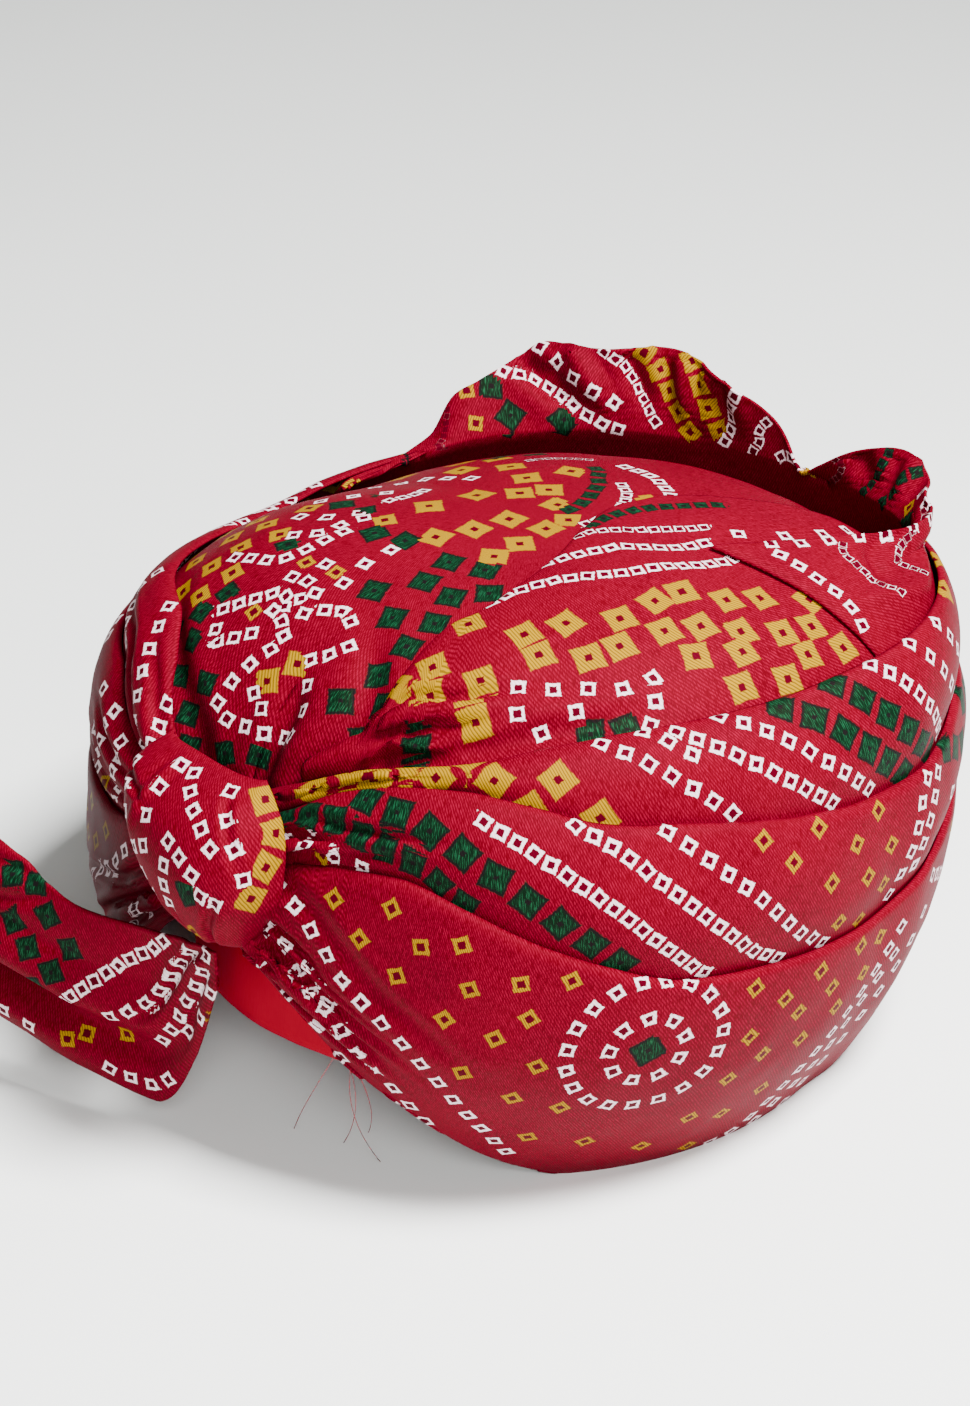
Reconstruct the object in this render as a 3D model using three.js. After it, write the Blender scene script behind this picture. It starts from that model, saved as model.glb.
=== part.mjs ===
// A tied turban (pagri) of printed cloth, lying with its head opening down.
// Millimetres, +Z up. The knot and the tail are at the back (+Y), the crest is over the forehead (-Y).
// An angle round the head is in degrees: 0 at the knot, growing toward -X.
// A level is a height on the body: 0 at the hem, 1 at the belly, 2 at the top of the crown.
import * as THREE from 'three';
import { mergeVertices } from 'three/addons/utils/BufferGeometryUtils.js';

// Driving sizes
const CROWN_HEIGHT = 150;
const WALL = 1.4;
const LINING_WALL = 2;
const LAYER = 2.6;
const STEP = 6;

// The body under the wraps: hem and belly radius, belly height, and how full its shoulder is, under the
// crown cloth and under the side wraps. The wraps stand upright at the front, where the crest rises.
const BODY = [
  { angle: 0, hem: 92, belly: 103, rise: 68, crown: 2.6, wrap: 2.6 },
  { angle: 20, hem: 90, belly: 106, rise: 70, crown: 2.5, wrap: 2.5 },
  { angle: 45, hem: 87, belly: 112, rise: 72, crown: 2.5, wrap: 2.5 },
  { angle: 90, hem: 86, belly: 109, rise: 80, crown: 2.7, wrap: 2.8 },
  { angle: 138, hem: 85, belly: 109, rise: 98, crown: 2.7, wrap: 5.0 },
  { angle: 180, hem: 91, belly: 108, rise: 90, crown: 2.3, wrap: 4.6 },
  { angle: 222, hem: 93, belly: 106, rise: 80, crown: 2.1, wrap: 3.2 },
  { angle: 270, hem: 94, belly: 108, rise: 70, crown: 2.0, wrap: 2.1 },
  { angle: 318, hem: 105, belly: 114, rise: 68, crown: 3.0, wrap: 3.0 },
  { angle: 340, hem: 98, belly: 111, rise: 66, crown: 2.8, wrap: 2.8 },
];

// How far the side wraps stand off the body, for what lies under them
const STANDOFF = [
  { angle: 0, off: 4.6 },
  { angle: 14, off: 5.8 },
  { angle: 100, off: 5.8 },
  { angle: 112, off: 8.6 },
  { angle: 264, off: 8.6 },
  { angle: 282, off: 5.0 },
  { angle: 300, off: 3.4 },
  { angle: 340, off: 4.0 },
];

// The upper edge of each side wrap, as a level
const UPPER_TOP = [
  { angle: 4, level: 1.28 }, { angle: 11, level: 1.32 }, { angle: 22, level: 1.38 },
  { angle: 31, level: 1.41 }, { angle: 42, level: 1.44 }, { angle: 50, level: 1.46 },
  { angle: 61, level: 1.47 }, { angle: 76, level: 1.46 }, { angle: 98, level: 1.43 },
  { angle: 138, level: 1.36 }, { angle: 180, level: 1.33 }, { angle: 222, level: 1.36 },
  { angle: 262, level: 1.38 }, { angle: 300, level: 1.44 }, { angle: 328, level: 1.47 },
  { angle: 337, level: 1.42 }, { angle: 342, level: 1.35 }, { angle: 346, level: 1.30 },
  { angle: 356, level: 1.27 },
];
const MIDDLE_TOP = [
  { angle: 4, level: 1.22 }, { angle: 12, level: 1.28 }, { angle: 20, level: 1.34 },
  { angle: 30, level: 1.375 }, { angle: 40, level: 1.385 }, { angle: 50, level: 1.36 },
  { angle: 58, level: 1.33 }, { angle: 70, level: 1.30 }, { angle: 86, level: 1.24 },
  { angle: 100, level: 1.18 }, { angle: 115, level: 1.13 }, { angle: 138, level: 1.11 },
  { angle: 180, level: 1.13 }, { angle: 222, level: 1.17 }, { angle: 262, level: 1.26 },
  { angle: 300, level: 1.33 }, { angle: 326, level: 1.33 }, { angle: 334, level: 1.28 },
  { angle: 342, level: 1.25 }, { angle: 356, level: 1.20 },
];
const LOWER_TOP = [
  { angle: 4, level: 1.13 }, { angle: 14, level: 1.19 }, { angle: 23, level: 1.22 },
  { angle: 32, level: 1.23 }, { angle: 41, level: 1.19 }, { angle: 49, level: 1.13 },
  { angle: 57, level: 1.07 }, { angle: 67, level: 0.99 }, { angle: 77, level: 0.93 },
  { angle: 88, level: 0.86 }, { angle: 102, level: 0.79 }, { angle: 118, level: 0.79 },
  { angle: 138, level: 0.82 }, { angle: 180, level: 0.86 }, { angle: 222, level: 0.92 },
  { angle: 262, level: 1.00 }, { angle: 300, level: 1.07 }, { angle: 335, level: 1.10 },
  { angle: 350, level: 1.14 }, { angle: 356, level: 1.11 },
];
// The hem of the lowest wrap, which climbs to the knot on both sides
const HEM = [
  { angle: 4, level: 1.00 }, { angle: 10, level: 0.92 }, { angle: 16, level: 0.80 },
  { angle: 24, level: 0.58 }, { angle: 32, level: 0.40 }, { angle: 40, level: 0.20 },
  { angle: 48, level: 0.06 }, { angle: 55, level: 0 }, { angle: 300, level: 0 },
  { angle: 312, level: 0.04 }, { angle: 325, level: 0.18 }, { angle: 335, level: 0.38 },
  { angle: 343, level: 0.62 }, { angle: 350, level: 0.86 }, { angle: 356, level: 0.98 },
];

// The free edge of the crown wrap, from the knot up over the crown to the crest
const CROWN_EDGE = [
  { angle: 11, level: 1.37 }, { angle: 17, level: 1.43 }, { angle: 21, level: 1.48 },
  { angle: 24, level: 1.60 }, { angle: 28, level: 1.67 }, { angle: 36, level: 1.72 },
  { angle: 46, level: 1.78 }, { angle: 60, level: 1.83 }, { angle: 78, level: 1.87 },
  { angle: 95, level: 1.89 }, { angle: 120, level: 1.89 }, { angle: 141, level: 1.86 },
  { angle: 150, level: 1.80 },
];

// The rim of the crest: how far it has left the crown (0 lies on it), radius and height
const CREST_RIM = [
  { angle: 114, free: 0, radius: 84, height: 141, level: 1.70 },
  { angle: 124, free: 0, radius: 95, height: 141, level: 1.63 },
  { angle: 134, free: 0.3, radius: 105, height: 141, level: 1.58 },
  { angle: 142, free: 0.8, radius: 113, height: 142, level: 1.55 },
  { angle: 150, free: 1, radius: 118, height: 142, level: 1.50 },
  { angle: 156, free: 1, radius: 121, height: 141, level: 1.48 },
  { angle: 163, free: 1, radius: 118, height: 144, level: 1.45 },
  { angle: 169, free: 1, radius: 114, height: 141, level: 1.45 },
  { angle: 175, free: 1, radius: 110, height: 133, level: 1.42 },
  { angle: 179, free: 1, radius: 107, height: 128, level: 1.42 },
  { angle: 186, free: 1, radius: 108, height: 140, level: 1.42 },
  { angle: 192, free: 1, radius: 109, height: 147, level: 1.42 },
  { angle: 203, free: 1, radius: 111, height: 152, level: 1.42 },
  { angle: 216, free: 1, radius: 112, height: 151, level: 1.44 },
  { angle: 224, free: 1, radius: 112, height: 150, level: 1.46 },
  { angle: 230, free: 1, radius: 111, height: 144, level: 1.46 },
  { angle: 235, free: 1, radius: 111, height: 140, level: 1.46 },
  { angle: 239, free: 1, radius: 110, height: 136, level: 1.46 },
  { angle: 243, free: 0.9, radius: 107, height: 124, level: 1.44 },
  { angle: 250, free: 0.5, radius: 105, height: 120, level: 1.43 },
  { angle: 264, free: 0, radius: 104, height: 118, level: 1.42 },
];
const CREST_FOOT_LEVEL = 1.1;
const CREST_RUFFLES = 7;
const CREST_RUFFLE_DEPTH = 3;

// The lining cap: half of the head oval, how high it goes, and its arch at the nape
const LINING = { halfLength: 101, halfWidth: 84, height: 126, archHeight: 24, archAngle: 50, fullness: 2.6 };

// The knot loop, by height: how far its middle and half its width reach round the head
const KNOT = [
  { height: 73, middle: 7, half: 3.5, depth: 5 },
  { height: 80, middle: 5.5, half: 7.5, depth: 11 },
  { height: 88, middle: 4.5, half: 10.5, depth: 15 },
  { height: 96, middle: 3.5, half: 12, depth: 16.5 },
  { height: 103, middle: 2.5, half: 12.5, depth: 15 },
  { height: 109, middle: 1.5, half: 11.5, depth: 11 },
  { height: 113, middle: 1, half: 10, depth: 6 },
];
const KNOT_CLEARANCE = 3.2;

// The tail, by station along its run: plan position, upper and lower edge, depth of its fold, roll of its top
const TAIL = [
  { x: -15, y: 123, top: 69, low: 58, fold: 0, roll: 0 },
  { x: -3, y: 123, top: 67, low: 28, fold: 1, roll: 0 },
  { x: 10, y: 126, top: 65, low: 9, fold: 4, roll: 0 },
  { x: 32, y: 136, top: 66, low: 14, fold: 8, roll: 2 },
  { x: 54, y: 143, top: 73, low: 20, fold: 12, roll: 7 },
  { x: 76, y: 147, top: 76, low: 24, fold: 12, roll: 9 },
  { x: 96, y: 147, top: 72, low: 19, fold: 10, roll: 7 },
  { x: 110, y: 143, top: 62, low: 14, fold: 7, roll: 4 },
];

const radians = THREE.MathUtils.degToRad;

// A value between table rows, eased so that it has no corner. A closed table goes round 360 degrees.
function along(table, key, angle, closed = false) {
  const first = table[0].angle;
  const last = table[table.length - 1].angle;
  let at = angle;
  if (closed) at = ((at % 360) + 360) % 360;
  else at = Math.min(Math.max(at, first), last);
  const count = table.length;
  let low = count - 1;
  for (let i = 0; i < count; i += 1) if (table[i].angle <= at) low = i;
  const row = (i) => {
    if (closed) {
      const turn = Math.floor(i / count);
      const item = table[((i % count) + count) % count];
      return { angle: item.angle + 360 * turn, value: item[key] };
    }
    const item = table[Math.min(Math.max(i, 0), count - 1)];
    return { angle: item.angle, value: item[key] };
  };
  if (!closed && low === count - 1) return table[low][key];
  const [before, start, end, after] = [row(low - 1), row(low), row(low + 1), row(low + 2)];
  const span = end.angle - start.angle;
  const slope = (a, b) => (b.angle === a.angle ? 0 : (b.value - a.value) / (b.angle - a.angle));
  const rising = slope(start, end);
  const ease = (s) => (s * rising <= 0 ? 0 : Math.sign(rising) * Math.min(Math.abs(s), 3 * Math.abs(rising)));
  const m0 = ease(slope(before, end)) * span;
  const m1 = ease(slope(start, after)) * span;
  const t = (at - start.angle) / span;
  const t2 = t * t;
  const t3 = t2 * t;
  return (2 * t3 - 3 * t2 + 1) * start.value + (t3 - 2 * t2 + t) * m0
    + (-2 * t3 + 3 * t2) * end.value + (t3 - t2) * m1;
}

// Radius, height and outward slope of the body at an angle and level
function bodySection(angle, level, under = 'wrap') {
  const hem = along(BODY, 'hem', angle, true);
  const belly = along(BODY, 'belly', angle, true);
  const rise = along(BODY, 'rise', angle, true);
  const power = along(BODY, under, angle, true);
  if (level <= 1) {
    const radius = hem + (belly - hem) * Math.sin(Math.max(level, 0) * Math.PI / 2);
    return { radius, height: level * rise, out: 1, up: 0 };
  }
  const turn = Math.min(level - 1, 1) * Math.PI / 2;
  const c = Math.cos(turn);
  const s = Math.sin(turn);
  const spread = (c ** power + s ** power) ** (1 / power);
  const head = CROWN_HEIGHT - rise;
  let out = (c / spread) ** (power - 1) / belly;
  let up = (s / spread) ** (power - 1) / head;
  const length = Math.hypot(out, up);
  out /= length;
  up /= length;
  return { radius: belly * c / spread, height: rise + head * s / spread, out, up };
}

// A point at an angle and radius round the head
function polar(angle, radius, height) {
  const a = radians(angle);
  return new THREE.Vector3(-radius * Math.sin(a), radius * Math.cos(a), height);
}

// A point on the layer that lies off the body by a distance
function onBody(angle, level, off, under) {
  const at = bodySection(angle, level, under);
  return polar(angle, at.radius + at.out * off, at.height + at.up * off);
}

// A closed wall from two surfaces. across runs from hem to top, around along the cloth.
function wallFrom(outer, inner, across, around, { ring = false, pole = false } = {}) {
  const columns = ring ? around : around + 1;
  const rows = across + 1;
  const positions = [];
  for (const surface of [outer, inner]) {
    for (let i = 0; i < columns; i += 1) {
      for (let j = 0; j < rows; j += 1) positions.push(...surface(i / around, j / across).toArray());
    }
  }
  const at = (side, i, j) => side * columns * rows + (i % columns) * rows + j;
  const faces = [];
  const quad = (a, b, c, d) => faces.push(a, b, c, a, c, d);
  for (let i = 0; i < around; i += 1) {
    for (let j = 0; j < across; j += 1) {
      quad(at(0, i, j), at(0, i + 1, j), at(0, i + 1, j + 1), at(0, i, j + 1));
      quad(at(1, i, j), at(1, i, j + 1), at(1, i + 1, j + 1), at(1, i + 1, j));
    }
    quad(at(0, i, 0), at(1, i, 0), at(1, i + 1, 0), at(0, i + 1, 0));
    if (!pole) quad(at(0, i, across), at(0, i + 1, across), at(1, i + 1, across), at(1, i, across));
  }
  if (!ring) {
    for (let j = 0; j < across; j += 1) {
      quad(at(0, 0, j), at(0, 0, j + 1), at(1, 0, j + 1), at(1, 0, j));
      quad(at(0, around, j), at(1, around, j), at(1, around, j + 1), at(0, around, j + 1));
    }
  }
  const geometry = new THREE.BufferGeometry();
  geometry.setAttribute('position', new THREE.Float32BufferAttribute(positions, 3));
  geometry.setIndex(faces);
  const merged = mergeVertices(geometry, 0.002);
  const index = merged.getIndex().array;
  const kept = [];
  for (let f = 0; f < index.length; f += 3) {
    const [a, b, c] = [index[f], index[f + 1], index[f + 2]];
    if (a !== b && b !== c && c !== a) kept.push(a, b, c);
  }
  merged.setIndex(kept);
  merged.computeVertexNormals();
  return merged;
}

// Cloth that lies on the body. Its first row of faces is tucked under its neighbour, the others show.
function clothOnBody({ from, to, low, shows, top, off, swell, across, under = 'wrap' }) {
  const around = Math.round((to - from) / STEP);
  const tucked = 1 / across;
  const surface = (depth) => (u, v) => {
    const angle = from + (to - from) * u;
    const edge = shows(angle);
    const level = v <= tucked
      ? low(angle) + (edge - low(angle)) * v / tucked
      : edge + (top(angle) - edge) * (v - tucked) / (1 - tucked);
    return onBody(angle, level, off(angle) + swell(angle, level) - depth, under);
  };
  return wallFrom(surface(0), surface(WALL), across, around);
}

// How strongly the cloth is gathered: 1 at the knot, falling off round the head
function gather(angle, reach) {
  const away = Math.min(Math.abs(angle), Math.abs(360 - angle));
  return Math.exp(-((away / reach) ** 2));
}

const standoff = (layer) => (angle) => along(STANDOFF, 'off', angle, true) + layer * LAYER;
const topOf = (table) => (angle) => along(table, 'level', angle);

// A wrap swells where it shows, between the edge of the wrap below it and its own top
function swellBetween(showsFrom, top, height, pleats) {
  return (angle, level) => {
    const low = showsFrom(angle);
    const share = (level - low) / Math.max(top(angle) - low, 0.01);
    if (share <= 0 || share >= 1) return 0;
    const round = Math.sin(Math.PI * share);
    const pleat = (1 - Math.cos(2 * Math.PI * pleats * share)) / 2;
    return height * round * (1 - 0.5 * gather(angle, 20)) + 2.4 * gather(angle, 30) * pleat * round;
  };
}

function liningCap() {
  const { halfLength, halfWidth, height, archHeight, archAngle, fullness } = LINING;
  const surface = (depth) => (u, v) => {
    const angle = 360 * u;
    const a = radians(angle);
    const long = halfLength - depth;
    const wide = halfWidth - depth;
    const radius = long * wide / Math.hypot(wide * Math.cos(a), long * Math.sin(a));
    const away = Math.min(angle, 360 - angle);
    const arch = archHeight * Math.max(0, Math.cos(Math.min(away / archAngle, 1) * Math.PI / 2)) ** 2;
    const turn = v * Math.PI / 2;
    const spread = (Math.cos(turn) ** fullness + Math.sin(turn) ** fullness) ** (1 / fullness);
    const rise = arch + (height - depth - arch) * Math.sin(turn) / spread;
    return polar(angle, v === 1 ? 0 : radius * Math.cos(turn) / spread, rise);
  };
  return wallFrom(surface(0), surface(LINING_WALL), 7, 180 / STEP, { ring: true, pole: true });
}

function crownCover() {
  const foot = 1.02;
  const surface = (depth) => (u, v) => {
    const angle = 360 * u;
    const level = foot + (2 - foot) * v;
    const ridge = 0.8 * gather(angle, 40) * Math.sin(Math.PI * v) ** 2 * (1 + Math.cos(radians(angle) * 12));
    const at = onBody(angle, level, ridge * 0.3 - depth, 'crown');
    if (v === 1) at.set(0, 0, at.z);
    return at;
  };
  return wallFrom(surface(0), surface(WALL), 8, 360 / STEP, { ring: true, pole: true });
}

function crownWrap() {
  const low = (angle) => along(UPPER_TOP, 'level', angle) - 0.16;
  const top = topOf(CROWN_EDGE);
  const shows = (angle) => along(UPPER_TOP, 'level', angle);
  const swell = (angle, level) => {
    const share = (level - shows(angle)) / Math.max(top(angle) - shows(angle), 0.02);
    const open = Math.max(0, Math.min(1, (112 - angle) / 20));
    return share > 0 && share < 1 ? 3 * Math.sin(Math.PI * share) * open : 0;
  };
  return clothOnBody({ from: 12, to: 150, low, shows, top, off: () => LAYER + 0.4, swell, across: 9, under: 'crown' });
}

function sideWrapUpper() {
  const shows = topOf(MIDDLE_TOP);
  const top = topOf(UPPER_TOP);
  const low = (angle) => shows(angle) - 0.14 * (1 - gather(angle, 14));
  const swell = swellBetween(shows, top, 2.2, 1);
  return clothOnBody({ from: 6, to: 354, low, shows, top, off: standoff(0), swell, across: 6 });
}

function sideWrapMiddle() {
  const shows = topOf(LOWER_TOP);
  const top = topOf(MIDDLE_TOP);
  const low = (angle) => shows(angle) - 0.16 * (1 - gather(angle, 14));
  const swell = swellBetween(shows, top, 2.6, 2);
  return clothOnBody({ from: 6, to: 354, low, shows, top, off: standoff(1), swell, across: 6 });
}

function sideWrapLower() {
  const low = topOf(HEM);
  const top = topOf(LOWER_TOP);
  const shows = (angle) => low(angle) + 0.12 * (top(angle) - low(angle));
  const swell = swellBetween(low, top, 2.4, 3);
  return clothOnBody({ from: 6, to: 354, low, shows, top, off: standoff(2), swell, across: 7 });
}

function crestFan() {
  const from = 114;
  const to = 264;
  const around = (to - from) * 2 / STEP;
  const tucked = 0.3;
  const surface = (depth) => (u, v) => {
    const angle = from + (to - from) * u;
    const off = 2 * LAYER - depth;
    const leaves = along(UPPER_TOP, 'level', angle) + 0.02;
    if (v <= tucked) return onBody(angle, CREST_FOOT_LEVEL + (leaves - CREST_FOOT_LEVEL) * v / tucked, off);
    const t = (v - tucked) / (1 - tucked);
    const free = along(CREST_RIM, 'free', angle);
    const lies = bodySection(angle, leaves + (along(CREST_RIM, 'level', angle) - leaves) * t);
    const start = bodySection(angle, leaves);
    const startRadius = start.radius + start.out * off;
    const startHeight = start.height + start.up * off;
    const ruffle = CREST_RUFFLE_DEPTH * t * Math.sin(CREST_RUFFLES * 2 * Math.PI * u);
    const reach = along(CREST_RIM, 'radius', angle) - depth - startRadius;
    const radius = startRadius + reach * t ** 1.2 + ruffle;
    const height = startHeight + (along(CREST_RIM, 'height', angle) - startHeight) * t;
    const lyingRadius = lies.radius + lies.out * off;
    const lyingHeight = lies.height + lies.up * off;
    return polar(angle, lyingRadius + (radius - lyingRadius) * free, lyingHeight + (height - lyingHeight) * free);
  };
  return wallFrom(surface(0), surface(WALL), 7, around);
}

function knotLoop() {
  const rows = KNOT.map((row) => ({ ...row, angle: row.height }));
  const [bottom, crown] = [rows[0].height, rows[rows.length - 1].height];
  const surface = (depth) => (u, v) => {
    const height = bottom + (crown - bottom) * v;
    const side = 2 * u - 1;
    const angle = along(rows, 'middle', height) + along(rows, 'half', height) * side;
    const level = 1 + (height - 70) / 160;
    const base = bodySection(angle, level).radius + standoff(3)(angle) + KNOT_CLEARANCE;
    const bulge = along(rows, 'depth', height) * (1 - Math.abs(side) ** 2.4) ** 0.62;
    return polar(angle, base + bulge - depth, height);
  };
  return wallFrom(surface(0), surface(WALL + 0.4), 8, 10);
}

function tail() {
  const rows = TAIL.map((row, i) => ({ ...row, angle: i }));
  const last = rows.length - 1;
  const middle = (s) => new THREE.Vector2(along(rows, 'x', s), along(rows, 'y', s));
  const line = (s, t) => {
    const here = middle(s);
    const ahead = middle(Math.min(s + 0.05, last)).sub(middle(Math.max(s - 0.05, 0))).normalize();
    const side = new THREE.Vector2(-ahead.y, ahead.x);
    const [top, low] = [along(rows, 'top', s), along(rows, 'low', s)];
    const fold = along(rows, 'fold', s);
    const pleat = fold * (0.55 * Math.sin(Math.PI * Math.min(t / 0.7, 1)) - Math.exp(-(((t - 0.3) / 0.11) ** 2)));
    const roll = along(rows, 'roll', s) * Math.max(0, (t - 0.75) / 0.25) ** 2;
    const out = pleat - roll;
    return new THREE.Vector3(here.x + side.x * out, here.y + side.y * out, low + (top - low) * t);
  };
  const surface = (depth) => (u, v) => {
    const s = u * last;
    const point = line(s, v);
    const tangentAlong = line(Math.min(s + 0.02, last), v).sub(line(Math.max(s - 0.02, 0), v));
    const tangentUp = line(s, Math.min(v + 0.01, 1)).sub(line(s, Math.max(v - 0.01, 0)));
    const normal = tangentUp.cross(tangentAlong).normalize();
    return point.addScaledVector(normal, depth);
  };
  return wallFrom(surface(0), surface(WALL + 0.2), 12, 18);
}

const turban = new THREE.Group();
const colours = { wrap: 0xb00b2c, lining: 0xd3141c };
const pieces = [
  ['lining_cap', liningCap(), colours.lining],
  ['crown_cover', crownCover(), colours.wrap],
  ['crown_wrap', crownWrap(), colours.wrap],
  ['side_wrap_upper', sideWrapUpper(), colours.wrap],
  ['side_wrap_middle', sideWrapMiddle(), colours.wrap],
  ['side_wrap_lower', sideWrapLower(), colours.wrap],
  ['crest_fan', crestFan(), colours.wrap],
  ['knot_loop', knotLoop(), colours.wrap],
  ['tail', tail(), colours.wrap],
];
for (const [name, geometry, color] of pieces) {
  const material = new THREE.MeshStandardMaterial({ color, roughness: 0.62, metalness: 0 });
  const mesh = new THREE.Mesh(geometry, material);
  mesh.name = name;
  turban.add(mesh);
}

// The origin is under the middle of the whole turban, on the surface that it lies on
const extent = new THREE.Box3().setFromObject(turban);
const middle = extent.getCenter(new THREE.Vector3());
turban.position.set(-middle.x, -middle.y, -extent.min.z);

export default turban;
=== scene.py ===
import math

import bpy
import numpy as np
from bpy.props import FloatProperty, FloatVectorProperty, PointerProperty
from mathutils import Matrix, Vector, kdtree, noise


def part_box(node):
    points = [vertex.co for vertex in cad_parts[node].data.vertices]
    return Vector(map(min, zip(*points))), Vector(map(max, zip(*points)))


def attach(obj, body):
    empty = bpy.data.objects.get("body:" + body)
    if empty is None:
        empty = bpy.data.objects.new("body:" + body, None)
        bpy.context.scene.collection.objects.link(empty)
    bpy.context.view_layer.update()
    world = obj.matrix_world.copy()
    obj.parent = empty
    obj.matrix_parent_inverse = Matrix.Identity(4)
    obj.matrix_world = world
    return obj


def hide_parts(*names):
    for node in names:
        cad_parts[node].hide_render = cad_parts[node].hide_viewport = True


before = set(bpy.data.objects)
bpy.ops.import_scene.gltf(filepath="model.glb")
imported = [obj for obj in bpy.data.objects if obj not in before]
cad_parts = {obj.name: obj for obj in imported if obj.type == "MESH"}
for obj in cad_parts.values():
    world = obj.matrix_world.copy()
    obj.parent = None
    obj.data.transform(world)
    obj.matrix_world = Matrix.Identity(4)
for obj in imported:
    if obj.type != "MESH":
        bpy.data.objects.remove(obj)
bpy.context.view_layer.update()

bl_info = {
    "name": "Tied turban",
    "version": (1, 0, 0),
    "blender": (4, 5, 0),
    "location": "3D View > Sidebar > Turban",
    "description": "Dresses the packed turban model in folded, printed cloth",
    "category": "Add Mesh",
}

# Lengths in the tables are millimetres from the axis of the head, which is the middle of the lining cap.
# An angle round the head is in degrees: 0 at the knot (+Y), growing toward -X.
# A level is a height on the body: 0 at the hem, 1 at the belly, 2 at the top of the crown.
MM = 0.001
cap_low, cap_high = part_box("lining_cap")
HEAD_X = (cap_low.x + cap_high.x) / 2
HEAD_Y = (cap_low.y + cap_high.y) / 2
CROWN_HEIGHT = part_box("crown_cover")[1].z / MM
LAYER = 2.6              # from one layer of cloth to the next
BELLY_RADIUS = 112       # about the radius of the body at its widest, for the size of the faces there
LEVEL_HEIGHT = 75        # about how high one level is on the side of the body
SIDE_FROM, SIDE_TO = 6, 354
# How far round the head from the knot the cloth is gathered, pleated, and not yet tucked in, in degrees
GATHER_REACH, PLEAT_REACH, TUCK_REACH = 20, 24, 14
PLEAT_HEIGHT = 2.8


def columns(names, *rows):
    """A table by the names of its columns."""
    return dict(zip(names.split(), np.array(rows, float).T))


# The body under all the cloth. Hem and belly are its radii at levels 0 and 1, and rise is the height of the
# belly. Crown and wrap say how square it is above the belly, under the crown's cloth and under the wraps.
BODY = columns(
    "angle hem belly rise crown wrap",
    (0, 92, 103, 68, 2.6, 2.6),
    (20, 90, 106, 70, 2.5, 2.5),
    (45, 87, 112, 72, 2.5, 2.5),
    (90, 86, 109, 80, 2.7, 2.8),
    (138, 85, 109, 98, 2.7, 5.0),
    (180, 91, 108, 90, 2.3, 4.6),
    (222, 93, 106, 80, 2.1, 3.2),
    (270, 94, 108, 70, 2.0, 2.1),
    (318, 105, 114, 68, 3.0, 3.0),
    (340, 98, 111, 66, 2.8, 2.8),
)
# How far off the body the lowest layer of the turns lies
STANDOFF = columns(
    "angle off",
    (0, 4.6), (14, 5.8), (100, 5.8), (112, 8.6), (264, 8.6), (282, 5.0), (300, 3.4), (340, 4.0),
)
# The edges of the turns, of the crown's wrap and of the hem
UPPER_TOP = columns(
    "angle level",
    (4, 1.28), (11, 1.32), (22, 1.38), (31, 1.41), (42, 1.44), (50, 1.46), (61, 1.47), (76, 1.46),
    (98, 1.43), (138, 1.36), (180, 1.33), (222, 1.36), (262, 1.38), (300, 1.44), (328, 1.47),
    (337, 1.42), (342, 1.35), (346, 1.30), (356, 1.27),
)
MIDDLE_TOP = columns(
    "angle level",
    (4, 1.22), (12, 1.28), (20, 1.34), (30, 1.375), (40, 1.385), (50, 1.36), (58, 1.33), (70, 1.30),
    (86, 1.24), (100, 1.18), (115, 1.13), (138, 1.11), (180, 1.13), (222, 1.17), (262, 1.26),
    (300, 1.33), (326, 1.33), (334, 1.28), (342, 1.25), (356, 1.20),
)
LOWER_TOP = columns(
    "angle level",
    (4, 1.13), (14, 1.19), (23, 1.22), (32, 1.23), (41, 1.19), (49, 1.13), (57, 1.07), (67, 0.99),
    (77, 0.93), (88, 0.86), (102, 0.79), (118, 0.79), (138, 0.82), (180, 0.86), (222, 0.92),
    (262, 1.00), (300, 1.07), (335, 1.10), (350, 1.14), (356, 1.11),
)
HEM = columns(
    "angle level",
    (4, 1.00), (10, 0.92), (16, 0.80), (24, 0.58), (32, 0.40), (40, 0.20), (48, 0.06), (55, 0),
    (300, 0), (312, 0.04), (325, 0.18), (335, 0.38), (343, 0.62), (350, 0.86), (356, 0.98),
)
CROWN_EDGE = columns(
    "angle level",
    (11, 1.37), (17, 1.43), (21, 1.48), (24, 1.60), (28, 1.67), (36, 1.72), (46, 1.78), (60, 1.83),
    (78, 1.87), (95, 1.89), (120, 1.89), (141, 1.86), (150, 1.80),
)
# The crest's rim: how free it stands (0 lies on the crown), where it is, and its level where it lies
CREST_RIM = columns(
    "angle free radius height level",
    (114, 0, 84, 141, 1.70),
    (124, 0, 95, 141, 1.63),
    (134, 0.3, 105, 141, 1.58),
    (142, 0.8, 113, 142, 1.55),
    (150, 1, 118, 142, 1.50),
    (156, 1, 121, 141, 1.48),
    (163, 1, 118, 144, 1.45),
    (169, 1, 114, 141, 1.45),
    (175, 1, 110, 133, 1.42),
    (179, 1, 107, 128, 1.42),
    (186, 1, 108, 140, 1.42),
    (192, 1, 109, 147, 1.42),
    (203, 1, 111, 152, 1.42),
    (216, 1, 112, 151, 1.44),
    (224, 1, 112, 150, 1.46),
    (230, 1, 111, 144, 1.46),
    (235, 1, 111, 140, 1.46),
    (239, 1, 110, 136, 1.46),
    (243, 0.9, 107, 124, 1.44),
    (250, 0.5, 105, 120, 1.43),
    (264, 0, 104, 118, 1.42),
)
CREST_FOOT_LEVEL = 1.1
CREST_RUFFLES = 7
RUMPLE_SIZE, RUMPLE_SEED = 22, 3
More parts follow.
